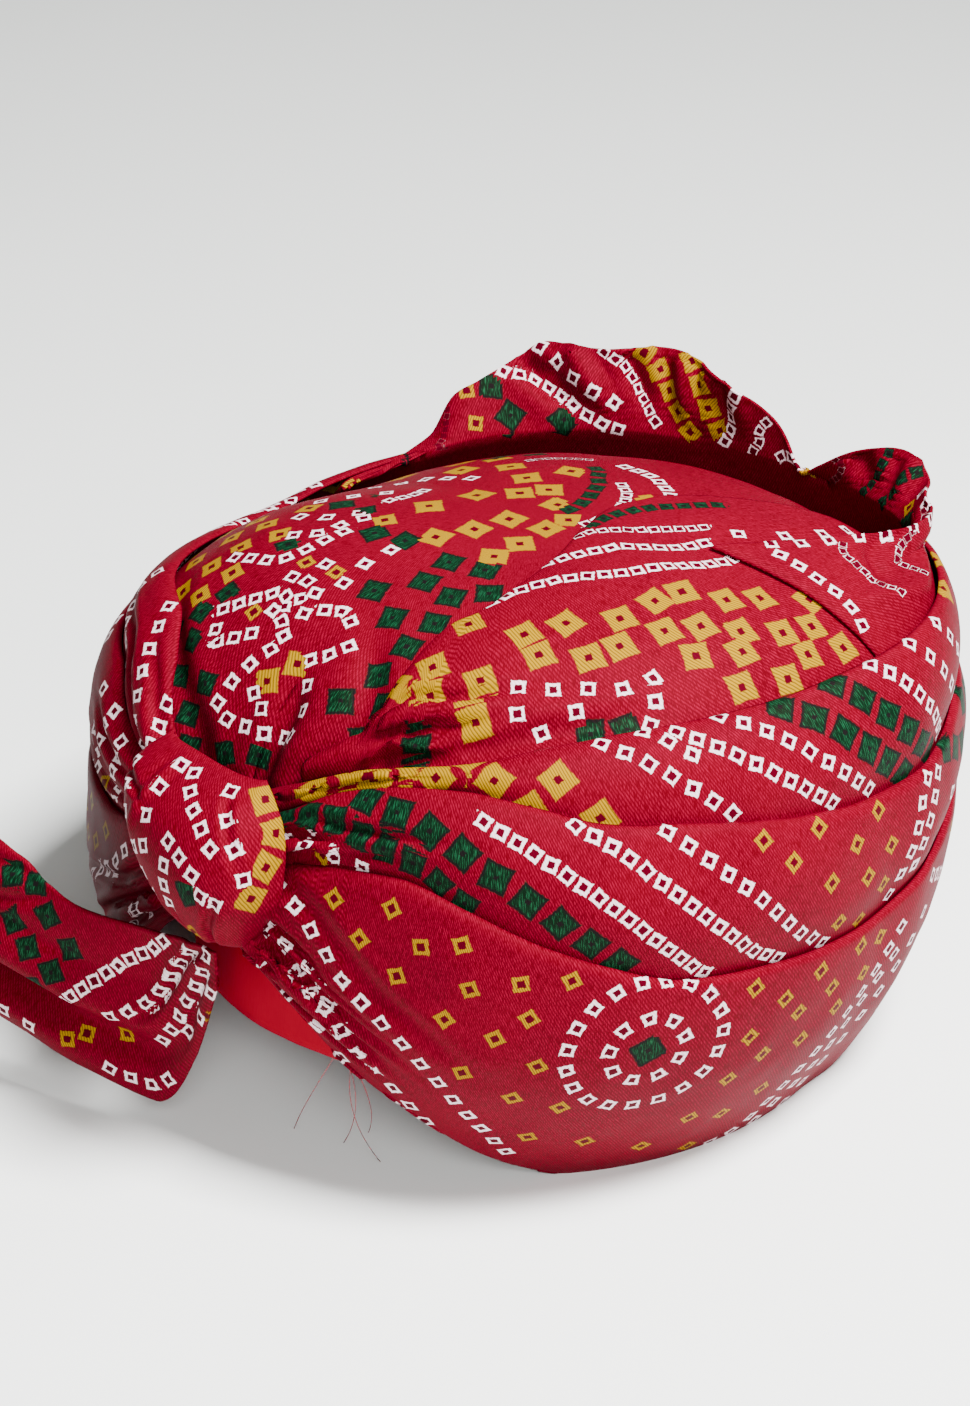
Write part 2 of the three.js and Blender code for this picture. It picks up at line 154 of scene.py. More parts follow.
# The knot's loop by height, which stands in the column of angles: the angle of its middle, half its width in
# degrees and how far it stands out
KNOT = columns(
    "angle middle half depth",
    (70.5, 7, 2.6, 2.5),
    (73, 7, 4, 5.5),
    (80, 5.5, 7.5, 11),
    (88, 4.5, 10.5, 15),
    (96, 3.5, 12, 16.5),
    (103, 2.5, 13, 15.5),
    (109, 1.8, 12.8, 13),
    (114, 1.2, 11.5, 9),
    (118, 1, 9.5, 4),
)
KNOT_CLEARANCE = 3.2
# The tail by station, in the column of angles: where it runs, its edges, its fold and its curled foot
TAIL = columns(
    "angle x y top low fold roll",
    (0, -15, 123, 69, 58, 0, 0),
    (1, -3, 123, 67, 28, 1, 0),
    (2, 10, 126, 65, 9, 4, 0),
    (3, 32, 136, 66, 14, 8, 2),
    (4, 54, 143, 73, 20, 12, 7),
    (5, 76, 147, 76, 24, 12, 9),
    (6, 96, 147, 72, 19, 10, 7),
    (7, 110, 143, 62, 14, 7, 4),
)

# Folds pressed into the sheets, as (depth, half the width, points of the line). A fold that stands out has
# a depth below zero. A line begins where the cloth is pinched. Its points are places on the sheet's chart:
# angle and share, but angle and level on the crown_cover, side and height on the knot_loop, and station and
# share on the tail.
FOLDS = {
    "side_wrap_lower": (
        (1.9, 1.5, (4, 0.62), (9, 0.59), (17, 0.57), (26, 0.48), (38, 0.32)),
        (-1.8, 1.7, (4, 0.50), (12, 0.45), (21, 0.35), (34, 0.16)),
        (2.0, 1.4, (4, 0.38), (12, 0.35), (20, 0.26), (31, 0.12)),
        (1.4, 1.3, (4, 0.22), (12, 0.15), (20, 0.06)),
        (1.5, 1.4, (4, 0.72), (17, 0.67), (24, 0.58), (36, 0.42)),
        (1.0, 2.6, (6, 0.94), (14, 0.92), (22, 0.82), (34, 0.64), (46, 0.48)),
        (1.8, 1.5, (356, 0.56), (348, 0.54), (338, 0.44), (326, 0.28)),
        (-1.4, 1.7, (356, 0.40), (346, 0.38), (334, 0.26)),
        (1.5, 1.4, (356, 0.26), (346, 0.24), (336, 0.12)),
        (1.5, 1.6, (356, 0.76), (344, 0.74), (330, 0.66), (314, 0.58)),
    ),
    "side_wrap_middle": (
        (1.7, 1.3, (5, 0.26), (13, 0.17), (20, 0.17), (28, 0.22), (38, 0.22)),
        (-1.0, 1.6, (5, 0.42), (14, 0.34), (24, 0.20), (34, 0.12)),
        (1.5, 1.3, (5, 0.66), (14, 0.58), (20, 0.38), (30, 0.26)),
        (1.4, 1.4, (5, 0.86), (14, 0.79), (23, 0.53), (33, 0.46), (44, 0.60)),
        (1.6, 1.4, (356, 0.34), (346, 0.34), (334, 0.36), (318, 0.30)),
        (1.4, 1.5, (356, 0.70), (346, 0.68), (334, 0.70), (320, 0.66)),
    ),
    "side_wrap_upper": (
        (1.5, 1.3, (5, 0.46), (16, 0.42), (28, 0.36), (42, 0.44)),
        (1.1, 1.6, (5, 0.78), (16, 0.70), (28, 0.62), (38, 0.60)),
        (1.7, 1.8, (356, 0.30), (346, 0.22), (339, 0.22), (326, 0.38), (308, 0.50)),
        (1.3, 1.7, (356, 0.80), (346, 0.84), (338, 0.76), (326, 0.74)),
    ),
    "crown_wrap": (
        (-2.2, 1.8, (21, 0.12), (25, 0.17), (31, 0.13), (40, 0.05)),
        (1.6, 1.5, (22, 0.26), (27, 0.24), (34, 0.22), (48, 0.19)),
        (-1.6, 1.8, (22, 0.38), (27, 0.34), (34, 0.29), (48, 0.26)),
        (1.5, 1.5, (23, 0.50), (28, 0.44), (36, 0.36), (54, 0.31)),
        (1.9, 3.2, (22, 0.04), (34, 0.07), (46, 0.07), (62, 0.06), (78, 0.08)),
    ),
    "crown_cover": (
        (1.8, 4.0, (351, 1.24), (348, 1.32), (341, 1.38), (328, 1.44), (314, 1.50)),
        (1.7, 3.6, (1, 1.24), (2, 1.34), (2, 1.44), (357, 1.54)),
        (1.7, 4.0, (9, 1.28), (15, 1.40), (17, 1.50), (10, 1.60), (357, 1.68)),
        (-1.2, 5.0, (6, 1.26), (8, 1.36), (9, 1.46), (4, 1.56)),
    ),
    "knot_loop": (
        (1.8, 1.2, (0.36, 74), (0.46, 82), (0.58, 91), (0.64, 99)),
        (1.4, 1.1, (-0.10, 74), (-0.06, 82), (0.02, 90)),
        (1.4, 1.1, (-0.52, 75), (-0.44, 83), (-0.38, 90)),
        (1.0, 1.3, (0.62, 116), (0.68, 111), (0.76, 104), (0.84, 96)),
        (1.2, 1.2, (-0.98, 108), (-0.80, 110), (-0.50, 109), (-0.20, 106)),
        (-0.9, 1.6, (-0.30, 117), (-0.36, 110), (-0.50, 102), (-0.60, 94)),
    ),
    "tail": (
        (1.6, 1.4, (-0.20, 0.97), (-1.00, 0.86), (-1.90, 0.58), (-2.70, 0.34)),
        (1.3, 1.5, (-0.20, 0.70), (-0.80, 0.46), (-1.40, 0.12)),
        (1.2, 1.8, (-3.20, 1.00), (-3.90, 0.80), (-4.80, 0.72), (-6.20, 0.70)),
        (1.2, 1.6, (-3.60, 0.98), (-4.20, 0.93), (-5.20, 0.90)),
    ),
    "crest_fan": (
        (-2.6, 3.4, (229, 1.00), (226, 0.70), (222, 0.40), (219, 0.06)),
        (2.4, 3.2, (221, 1.00), (218, 0.70), (215, 0.40), (213, 0.06)),
        (-2.2, 3.0, (212, 1.00), (210, 0.70), (208, 0.40), (207, 0.06)),
        (2.2, 3.0, (203, 1.00), (202, 0.70), (201, 0.40), (200, 0.06)),
        (-2.2, 3.2, (195, 1.00), (195, 0.70), (194, 0.40), (193, 0.06)),
        (-2.0, 3.2, (169, 1.00), (168, 0.70), (167, 0.40), (166, 0.06)),
        (2.0, 3.2, (161, 1.00), (160, 0.70), (159, 0.40), (158, 0.06)),
        (-1.6, 2.6, (150, 1.00), (146, 0.70), (142, 0.40), (139, 0.06)),
        (1.4, 2.6, (140, 1.00), (136, 0.66), (132, 0.36), (129, 0.06)),
    ),
}

# The print. An ink is a colour and half the size of its square. A row gives its ink, how many motifs there
# are and the line that their middles follow, as places on the chart. A group of spots, which lie by
# themselves, gives its ink, how far its squares are turned in degrees, and their places.
WHITE, YELLOW, GOLD, GREEN = ("white", 1.95), ("yellow", 2.2), ("yellow", 3.9), ("green", 3.9)
ROWS = {
    "side_wrap_lower": (
        (WHITE, 15, (14, 0.91), (24, 0.70), (35, 0.45), (45, 0.10)),
        (WHITE, 12, (9, 0.66), (18, 0.58), (28, 0.20), (34, 0.01)),
        (WHITE, 4, (12, 0.30), (18, 0.16), (23, 0.03)),
        (WHITE, 13, (79, 0.00), (85, 0.07), (92, 0.38), (98, 0.58), (106, 0.84)),
        (WHITE, 9, (88, 0.02), (94, 0.22), (100, 0.50), (106, 0.70)),
        (WHITE, 9, (95, 0.02), (100, 0.24), (107, 0.52), (113, 0.76)),
    ),
    "side_wrap_middle": (
        (GREEN, 9, (25, 0.86), (37, 0.55), (51, 0.26), (59, 0.06)),
        (GREEN, 8, (13, 0.92), (22, 0.58), (29, 0.34), (40, 0.05)),
        (WHITE, 16, (42, 0.79), (50, 0.66), (59, 0.45), (70, 0.07)),
        (WHITE, 15, (54, 0.95), (60, 0.82), (70, 0.48), (81, 0.05)),
        (WHITE, 11, (66, 0.96), (73, 0.74), (80, 0.48), (89, 0.04)),
        (WHITE, 4, (14, 0.46), (19, 0.30), (26, 0.06)),
        (WHITE, 6, (110, 0.93), (108, 0.80), (105, 0.40), (103, 0.10)),
        (WHITE, 5, (113, 0.88), (109, 0.55), (107, 0.25)),
        (WHITE, 6, (333, 0.92), (333, 0.55), (332, 0.10)),
        (WHITE, 5, (338, 0.88), (339, 0.55), (340, 0.20)),
        (WHITE, 3, (328, 0.80), (329, 0.50), (330, 0.20)),
    ),
    "side_wrap_upper": (
        (WHITE, 7, (59, 0.90), (65, 0.62), (72, 0.28), (76, 0.08)),
        (WHITE, 3, (66, 0.96), (69, 0.82), (72, 0.66)),
        (WHITE, 10, (71, 0.90), (78, 0.62), (85, 0.34), (92, 0.06)),
        (WHITE, 9, (79, 0.97), (85, 0.74), (92, 0.42), (99, 0.08)),
        (GREEN, 6, (99, 0.96), (104, 0.62), (109, 0.30), (113, 0.06)),
        (GREEN, 6, (89, 0.92), (94, 0.72), (101, 0.34), (106, 0.06)),
        (WHITE, 8, (106, 0.97), (109, 0.76), (113, 0.45), (117, 0.08)),
        (WHITE, 6, (114, 0.96), (118, 0.66), (122, 0.34), (126, 0.06)),
        (WHITE, 5, (122, 0.94), (126, 0.60), (131, 0.20)),
        (WHITE, 6, (315, 0.80), (318, 0.44), (327, 0.04)),
        (WHITE, 7, (328, 0.90), (334, 0.66), (339, 0.40), (341, 0.10)),
        (WHITE, 3, (342, 0.96), (344, 0.78), (345, 0.60)),
    ),
    "crown_wrap": (
        (WHITE, 18, (37, 0.98), (50, 0.88), (65, 0.77), (81, 0.67), (100, 0.59), (119, 0.52)),
        (WHITE, 6, (120, 0.50), (121, 0.34), (120, 0.16), (118, 0.04)),
        (WHITE, 11, (57, 0.98), (70, 0.90), (86, 0.82), (102, 0.73), (117, 0.64)),
        (WHITE, 11, (84, 0.97), (95, 0.93), (106, 0.88), (116, 0.80), (126, 0.68)),
        (GREEN, 9, (102, 0.97), (114, 0.96), (126, 0.93), (137, 0.86), (143, 0.70)),
        (WHITE, 5, (46, 0.32), (53, 0.25), (60, 0.21), (66, 0.18), (71, 0.20)),
        (WHITE, 3, (71, 0.20), (70, 0.11), (68, 0.02)),
        (WHITE, 4, (127, 0.58), (133, 0.45), (139, 0.34), (146, 0.24)),
    ),
    "crown_cover": (
        (WHITE, 4, (338, 1.49), (340, 1.475), (342, 1.49), (345, 1.52)),
        (WHITE, 3, (344, 1.57), (348, 1.56), (351, 1.54)),
        (WHITE, 4, (351, 1.51), (350, 1.48), (349, 1.43), (349, 1.39)),
        (WHITE, 4, (352, 1.37), (356, 1.37), (359, 1.37), (3, 1.38)),
        (WHITE, 3, (6, 1.57), (3, 1.54), (0, 1.52)),
        (WHITE, 3, (3, 1.48), (5, 1.44), (5, 1.39)),
        (WHITE, 3, (353, 1.61), (357, 1.62), (1, 1.61)),
        (WHITE, 2, (350, 1.59), (347, 1.63)),
        (WHITE, 6, (346, 1.61), (344, 1.60), (341, 1.60), (339, 1.58), (337, 1.55), (335, 1.52)),
        (WHITE, 2, (342, 1.64), (339, 1.68)),
        (WHITE, 3, (349, 1.67), (346, 1.72), (344, 1.77)),
        (WHITE, 7, (322, 1.57), (326, 1.60), (330, 1.63), (329, 1.68), (325, 1.73)),
        (WHITE, 4, (321, 1.66), (323, 1.70), (320, 1.73), (317, 1.76)),
        (WHITE, 3, (310, 1.66), (313, 1.70), (312, 1.75)),
        (WHITE, 3, (298, 1.66), (294, 1.71), (290, 1.75)),
        (WHITE, 4, (300, 1.78), (292, 1.80), (283, 1.80)),
        (WHITE, 5, (277, 1.66), (268, 1.70), (262, 1.76), (255, 1.80)),
        (WHITE, 9, (118, 1.90), (138, 1.87), (158, 1.83), (176, 1.80)),
        (WHITE, 8, (145, 1.77), (160, 1.75), (175, 1.73), (192, 1.71)),
        (GREEN, 7, (150, 1.93), (170, 1.88), (186, 1.82), (198, 1.76)),
        (WHITE, 7, (206, 1.70), (216, 1.71), (226, 1.73)),
    ),
    "crest_fan": (
        (WHITE, 5, (225, 0.96), (221, 0.72), (217, 0.52), (213, 0.36)),
        (WHITE, 9, (231, 0.92), (227, 0.66), (222, 0.41), (216, 0.14), (212, 0.02)),
        (WHITE, 8, (215, 0.97), (212, 0.80), (209, 0.45), (206, 0.14)),
        (GOLD, 5, (209, 0.94), (206, 0.72), (203, 0.40), (200, 0.10)),
        (GOLD, 4, (201, 0.95), (199, 0.74), (197, 0.48), (195, 0.22)),
        (WHITE, 5, (192, 0.92), (193, 0.62), (193, 0.32), (194, 0.08)),
        (WHITE, 4, (187, 0.78), (188, 0.54), (188, 0.28), (189, 0.06)),
        (WHITE, 3, (180, 0.92), (182, 0.50), (184, 0.16)),
        (WHITE, 6, (172, 0.96), (171, 0.72), (171, 0.42), (173, 0.10)),
        (GREEN, 5, (165, 0.88), (165, 0.60), (165, 0.32), (166, 0.06)),
        (GREEN, 4, (159, 0.84), (160, 0.56), (160, 0.30), (161, 0.06)),
        (WHITE, 9, (124, 0.96), (130, 0.93), (139, 0.94), (148, 0.90), (154, 0.84)),
        (WHITE, 9, (133, 0.80), (130, 0.60), (128, 0.32), (126, 0.10)),
        (WHITE, 8, (141, 0.84), (139, 0.56), (136, 0.28), (134, 0.06)),
        (WHITE, 7, (149, 0.72), (146, 0.48), (144, 0.26), (142, 0.06)),
        (WHITE, 6, (121, 0.80), (119, 0.50), (118, 0.24), (116, 0.04)),
        (WHITE, 7, (240, 0.90), (241, 0.50), (243, 0.10)),
        (GREEN, 4, (249, 0.86), (249, 0.50), (250, 0.14)),
        (WHITE, 6, (257, 0.90), (257, 0.50), (257, 0.12)),
    ),
    "knot_loop": (
        (WHITE, 3, (-0.80, 112), (-0.72, 107), (-0.67, 102)),
        (WHITE, 4, (-0.24, 116), (-0.25, 110), (-0.26, 105), (-0.27, 99)),
        (WHITE, 5, (0.00, 116), (0.20, 113), (0.40, 110), (0.56, 106)),
        (WHITE, 4, (0.62, 116), (0.70, 110), (0.78, 105), (0.83, 99)),
        (WHITE, 3, (0.09, 104), (0.24, 102), (0.40, 99)),
        (WHITE, 3, (0.05, 98), (0.01, 93), (-0.02, 87)),
        (WHITE, 2, (0.48, 94), (0.61, 92)),
        (GOLD, 4, (0.97, 115), (0.98, 108), (0.94, 101), (0.88, 93)),
        (WHITE, 3, (-0.50, 96), (-0.52, 90), (-0.50, 84)),
        (WHITE, 3, (-0.85, 98), (-0.80, 91), (-0.70, 84)),
    ),
    "tail": (
        (WHITE, 10, (-1.72, 0.96), (-2.30, 0.80), (-2.75, 0.60), (-3.11, 0.41)),
        (WHITE, 7, (-1.00, 0.90), (-1.70, 0.70), (-2.54, 0.44)),
        (WHITE, 7, (-0.35, 0.90), (-0.45, 0.71), (-1.15, 0.50), (-1.88, 0.36)),
        (WHITE, 4, (-2.60, 0.10), (-2.20, 0.10), (-1.75, 0.12)),
        (WHITE, 3, (-1.20, 0.30), (-0.70, 0.24), (-0.20, 0.20)),
        (WHITE, 6, (-3.65, 0.10), (-4.40, 0.10), (-5.60, 0.10)),
    ),
}
SPOTS = {
    "side_wrap_lower": (
        (YELLOW, 45, (23, 0.92), (31, 0.94), (27, 0.84), (35, 0.89), (40, 0.94), (32, 0.79), (41, 0.86),
         (47, 0.92), (53, 0.96), (38, 0.74), (44, 0.73), (48, 0.84), (40, 0.52), (49, 0.65), (46, 0.47),
         (52, 0.46), (48, 0.25), (56, 0.24), (65, 0.15), (71, 0.30), (74, 0.05)),
        (YELLOW, 45, (77, 0.93), (82, 0.84), (85, 0.74), (88, 0.91), (91, 0.79), (93, 0.66), (87, 0.57),
         (77, 0.70), (80, 0.58), (75, 0.50), (83, 0.33), (77, 0.25), (96, 0.93), (101, 0.89), (98, 0.76)),
        (("green", 4.4), 45, (62.5, 0.73)),
    ),
    "side_wrap_middle": (
        (YELLOW, 45, (79, 0.90), (88, 0.93), (99, 0.93), (83, 0.77), (94, 0.79), (101, 0.66), (89, 0.60),
         (96, 0.54), (100, 0.34), (91, 0.23), (96, 0.10), (20, 0.14), (336, 0.28), (334, 0.10)),
    ),
    "side_wrap_upper": (
        (GOLD, 45, (16, 0.34), (25, 0.38), (34.5, 0.40), (43, 0.38), (52, 0.46), (48, -0.04), (57.5, 0.04),
         (20.5, 0.98), (30, 1.0), (39, 1.0), (347, 0.84)),
    ),
    "crown_wrap": (
        (GOLD, 0, (81, 0.50), (89, 0.49), (97, 0.40), (105, 0.36), (114, 0.26), (108, 0.18), (70, 0.48),
         (57, 0.55), (29, 0.60), (47, 0.58), (50, 0.44), (60, 0.35), (78, 0.37), (86, 0.34), (93, 0.27),
         (101, 0.21), (67, 0.36), (81, 0.24), (90, 0.20), (102, 0.10), (110, 0.05), (86, 0.08), (95, 0.05),
         (33, 0.86), (39, 0.42), (30, 0.42), (39, 0.22), (23, 0.80)),
        (WHITE, 0, (56, 0.13), (46, 0.19), (50, 0.08)),
        (GREEN, 0, (58, 0.03), (64, 0.02), (30, 0.14)),
    ),
    "crown_cover": (
        (YELLOW, 0, (344, 1.68), (335, 1.66), (341, 1.55)),
        (WHITE, 30, (345, 1.585), (357, 1.41), (354, 1.43), (338, 1.63)),
        (("green", 3.8), 15, (341, 1.80), (9, 1.80), (28, 1.81), (358, 1.68), (9, 1.74), (22, 1.73),
         (34, 1.76), (10, 1.65), (22, 1.67), (19, 1.61), (16, 1.55), (20, 1.50), (12, 1.48), (18, 1.435),
         (330, 1.77), (303, 1.71), (292, 1.735), (325, 1.65), (311, 1.755)),
        (("green", 3.4), 15, (332, 1.54), (332, 1.49), (329, 1.43), (336, 1.45), (338, 1.39), (345, 1.41),
         (344, 1.345), (347, 1.29), (354, 1.31), (0, 1.33)),
        (("yellow", 3.1), 5, (311, 1.40), (316, 1.42), (322, 1.47), (328, 1.50), (307, 1.45), (314, 1.49),
         (321, 1.53), (303, 1.50), (311, 1.55), (319, 1.58), (304, 1.57), (311, 1.61), (319, 1.64),
         (304, 1.66), (321, 1.79), (327, 1.56)),
        (("yellow", 3.5), 20, (355, 1.457), (358, 1.505)),
        (GOLD, 10, (307, 1.85), (274, 1.89), (235, 1.92), (170, 1.94), (346, 1.84), (351, 1.90),
         (355, 1.965), (79, 1.94), (42, 1.90), (28, 1.85), (246, 1.62), (237, 1.68), (252, 1.73),
         (234, 1.77), (227, 1.85), (262, 1.60), (205, 1.80), (205, 1.90), (120, 1.93)),
    ),
    "crest_fan": (
        (YELLOW, 20, (237, 0.93), (236, 0.30), (178, 0.70), (154, 0.40), (262, 0.60)),
        (GREEN, 45, (230, 0.26), (233, 0.80), (221, 0.12), (152, 0.10)),
    ),
    "knot_loop": (
        (GREEN, 30, (0.36, 94)),
        (YELLOW, 30, (-0.35, 77), (0.1, 79)),
    ),
    "tail": (
        (("green", 3.4), 45, (-3.80, 0.70), (-3.56, 0.62), (-3.32, 0.86), (-3.02, 0.74), (-3.23, 0.57),
         (-3.48, 0.42), (-3.90, 0.92), (-3.55, 0.96), (-4.20, 0.84), (-4.10, 0.55), (-4.50, 0.72),
         (-4.90, 0.86), (-5.00, 0.58), (-5.40, 0.74), (-5.80, 0.88), (-5.90, 0.60), (-6.30, 0.74),
         (-6.70, 0.88), (-6.70, 0.56)),
        (YELLOW, 20, (-0.40, 0.06), (-3.11, 0.16), (-2.90, 0.22), (-2.45, 0.30)),
    ),
}
# Rings of motifs: ink, middle, radius and how many
RINGS = {
    "side_wrap_lower": ((WHITE, (62.5, 0.73), 10.5, 9), (WHITE, (62.5, 0.73), 21.5, 19)),
}
# The print goes on round the far side, as (mirrored, turned by, from, to, highest share), in degrees
REPEATS = {
    "side_wrap_lower": ((False, 100, 112, 206, 1), (False, 196, 210, 302, 1), (True, 360, 304, 350, 1)),
    "side_wrap_middle": ((False, 104, 116, 214, 1), (False, 204, 218, 320, 1)),
    "side_wrap_upper": ((False, 112, 130, 228, 1), (False, 208, 230, 312, 1)),
    "crown_cover": ((True, 360, 60, 155, 1.8), (False, 215, 215, 268, 1.7)),
}


class TurbanSizes(bpy.types.PropertyGroup):
    face_size: FloatProperty(
        name="Face size", description="Edge of one face of the fine cloth meshes",
        default=1.2 * MM, min=0.5 * MM, unit="LENGTH", precision=5)
    cloth: FloatProperty(
        name="Cloth", description="Thickness of the printed cloth",
        default=0.9 * MM, min=0.2 * MM, unit="LENGTH", precision=5)
    lining: FloatProperty(
        name="Lining", description="Thickness of the lining cap",
        default=1.6 * MM, min=0.5 * MM, unit="LENGTH", precision=5)
    fold: FloatProperty(
        name="Fold radius", description="Radius of a turned, rounded edge of the cloth",
        default=1.9 * MM, min=0.5 * MM, unit="LENGTH", precision=5)
    rumple: FloatProperty(
        name="Rumple", description="How far the cloth wanders from its smooth shape",
        default=0.45 * MM, min=0, unit="LENGTH", precision=5)


class TurbanColours(bpy.types.PropertyGroup):
    cloth: FloatVectorProperty(
        name="Cloth", description="Ground colour of the printed cloth",
        default=(0.08, 0.0, 0.0035), min=0, max=1, subtype="COLOR")
    # Painted highlight: the colour laid on the crests of the ribs of the ground, standing in for the cloth's
    # shine
    sheen: FloatVectorProperty(
        name="Sheen", description="Colour where the threads of the cloth catch the light",
        default=(0.21, 0.0, 0.02), min=0, max=1, subtype="COLOR")
    shade: FloatVectorProperty(
        name="Shade", description="Colour between the threads and inside the motifs",
        default=(0.05, 0.0, 0.004), min=0, max=1, subtype="COLOR")
    white: FloatVectorProperty(
        name="White print", description="Colour of the small white squares",
        default=(0.7, 0.55, 0.58), min=0, max=1, subtype="COLOR")
    yellow: FloatVectorProperty(
        name="Yellow print", description="Colour of the yellow squares",
        default=(0.27, 0.14, 0.0), min=0, max=1, subtype="COLOR")
    green: FloatVectorProperty(
        name="Green print", description="Colour of the green squares",
        default=(0.002, 0.02, 0.008), min=0, max=1, subtype="COLOR")
    lining: FloatVectorProperty(
        name="Lining", description="Colour of the plain lining",
        default=(0.34, 0.0, 0.016), min=0, max=1, subtype="COLOR")
    floor: FloatVectorProperty(
        name="Floor", description="Colour of the table top",
        default=(0.9, 0.91, 0.89), min=0, max=1, subtype="COLOR")


def along(table, key, at, closed=False):
    """The value of a column at some angles, eased so that it has no corner."""
    angles, values = table["angle"], table[key]
    at = np.asarray(at, float)
    if closed:
        angles = np.concatenate([angles - 360, angles, angles + 360])
        values = np.tile(values, 3)
        at = at % 360
        first, last = 1, len(angles) - 3
    else:
        at = np.clip(at, angles[0], angles[-1])
        first, last = 0, len(angles) - 2
    i = np.clip(np.searchsorted(angles, at, side="right") - 1, first, last)
    before, after = np.maximum(i - 1, 0), np.minimum(i + 2, len(angles) - 1)
    span = angles[i + 1] - angles[i]
    rising = (values[i + 1] - values[i]) / span

    def ease(a, b):
        slope = (values[b] - values[a]) / (angles[b] - angles[a])
        kept = np.sign(rising) * np.minimum(np.abs(slope), 3 * np.abs(rising))
        return np.where(slope * rising <= 0, 0, kept) * span

    t = (at - angles[i]) / span
    start, end = ease(before, i + 1), ease(i, after)
    return ((2 * t ** 3 - 3 * t ** 2 + 1) * values[i] + (t ** 3 - 2 * t ** 2 + t) * start
            + (-2 * t ** 3 + 3 * t ** 2) * values[i + 1] + (t ** 3 - t ** 2) * end)


def body_section(angle, level, under="wrap"):
    """Radius, height and outward slope of the body at an angle and level."""
    hem, belly, rise, power = (along(BODY, key, angle, True) for key in ("hem", "belly", "rise", under))
    low = np.clip(level, 0, 1)
    turn = np.clip(level - 1, 0, 1) * np.pi / 2
    c, s = np.abs(np.cos(turn)), np.abs(np.sin(turn))
    spread = (c ** power + s ** power) ** (1 / power)
    head = CROWN_HEIGHT - rise
    out = (c / spread) ** (power - 1) / belly
    up = (s / spread) ** (power - 1) / head
    length = np.hypot(out, up)
    below = level <= 1
    radius = np.where(below, hem + (belly - hem) * np.sin(low * np.pi / 2), belly * c / spread)
    height = np.where(below, low * rise, rise + head * s / spread)
    return radius, height, np.where(below, 1, out / length), np.where(below, 0, up / length)


def polar(angle, radius, height):
    a = np.radians(angle)
    return np.stack(np.broadcast_arrays(-radius * np.sin(a), radius * np.cos(a), height), -1)


def on_body(angle, level, off, under="wrap"):
    """Points on the layer that lies off the body by a distance."""
    radius, height, out, up = body_section(angle, level, under)
    return polar(angle, radius + out * off, height + up * off)


def gather(angle, reach):
    """How strongly the cloth is gathered: 1 at the knot, falling off round the head."""
    away = np.minimum(np.abs(angle), np.abs(360 - angle))
    return np.exp(-((away / reach) ** 2))


def standoff(angle, layer):
    return along(STANDOFF, "off", angle, True) + layer * LAYER


def swell_between(share, angle, height, pleats):
    """How far a wrap swells between its two edges, with pleats near the knot."""
    inside = (share > 0) & (share < 1)
    rounded = np.sin(np.pi * share)
    pleat = np.abs(np.sin(np.pi * pleats * share)) ** 0.8
    swell = height * rounded * (1 - 0.5 * gather(angle, GATHER_REACH))
    swell = swell + PLEAT_HEIGHT * gather(angle, PLEAT_REACH) * pleat * rounded
    return np.where(inside, swell, 0)


def rolled(distance, radius):
    """How far a turned edge drops, by the distance left to the edge."""
    left = np.clip(distance, 0, radius)
    return radius - np.sqrt(radius ** 2 - (radius - left) ** 2)


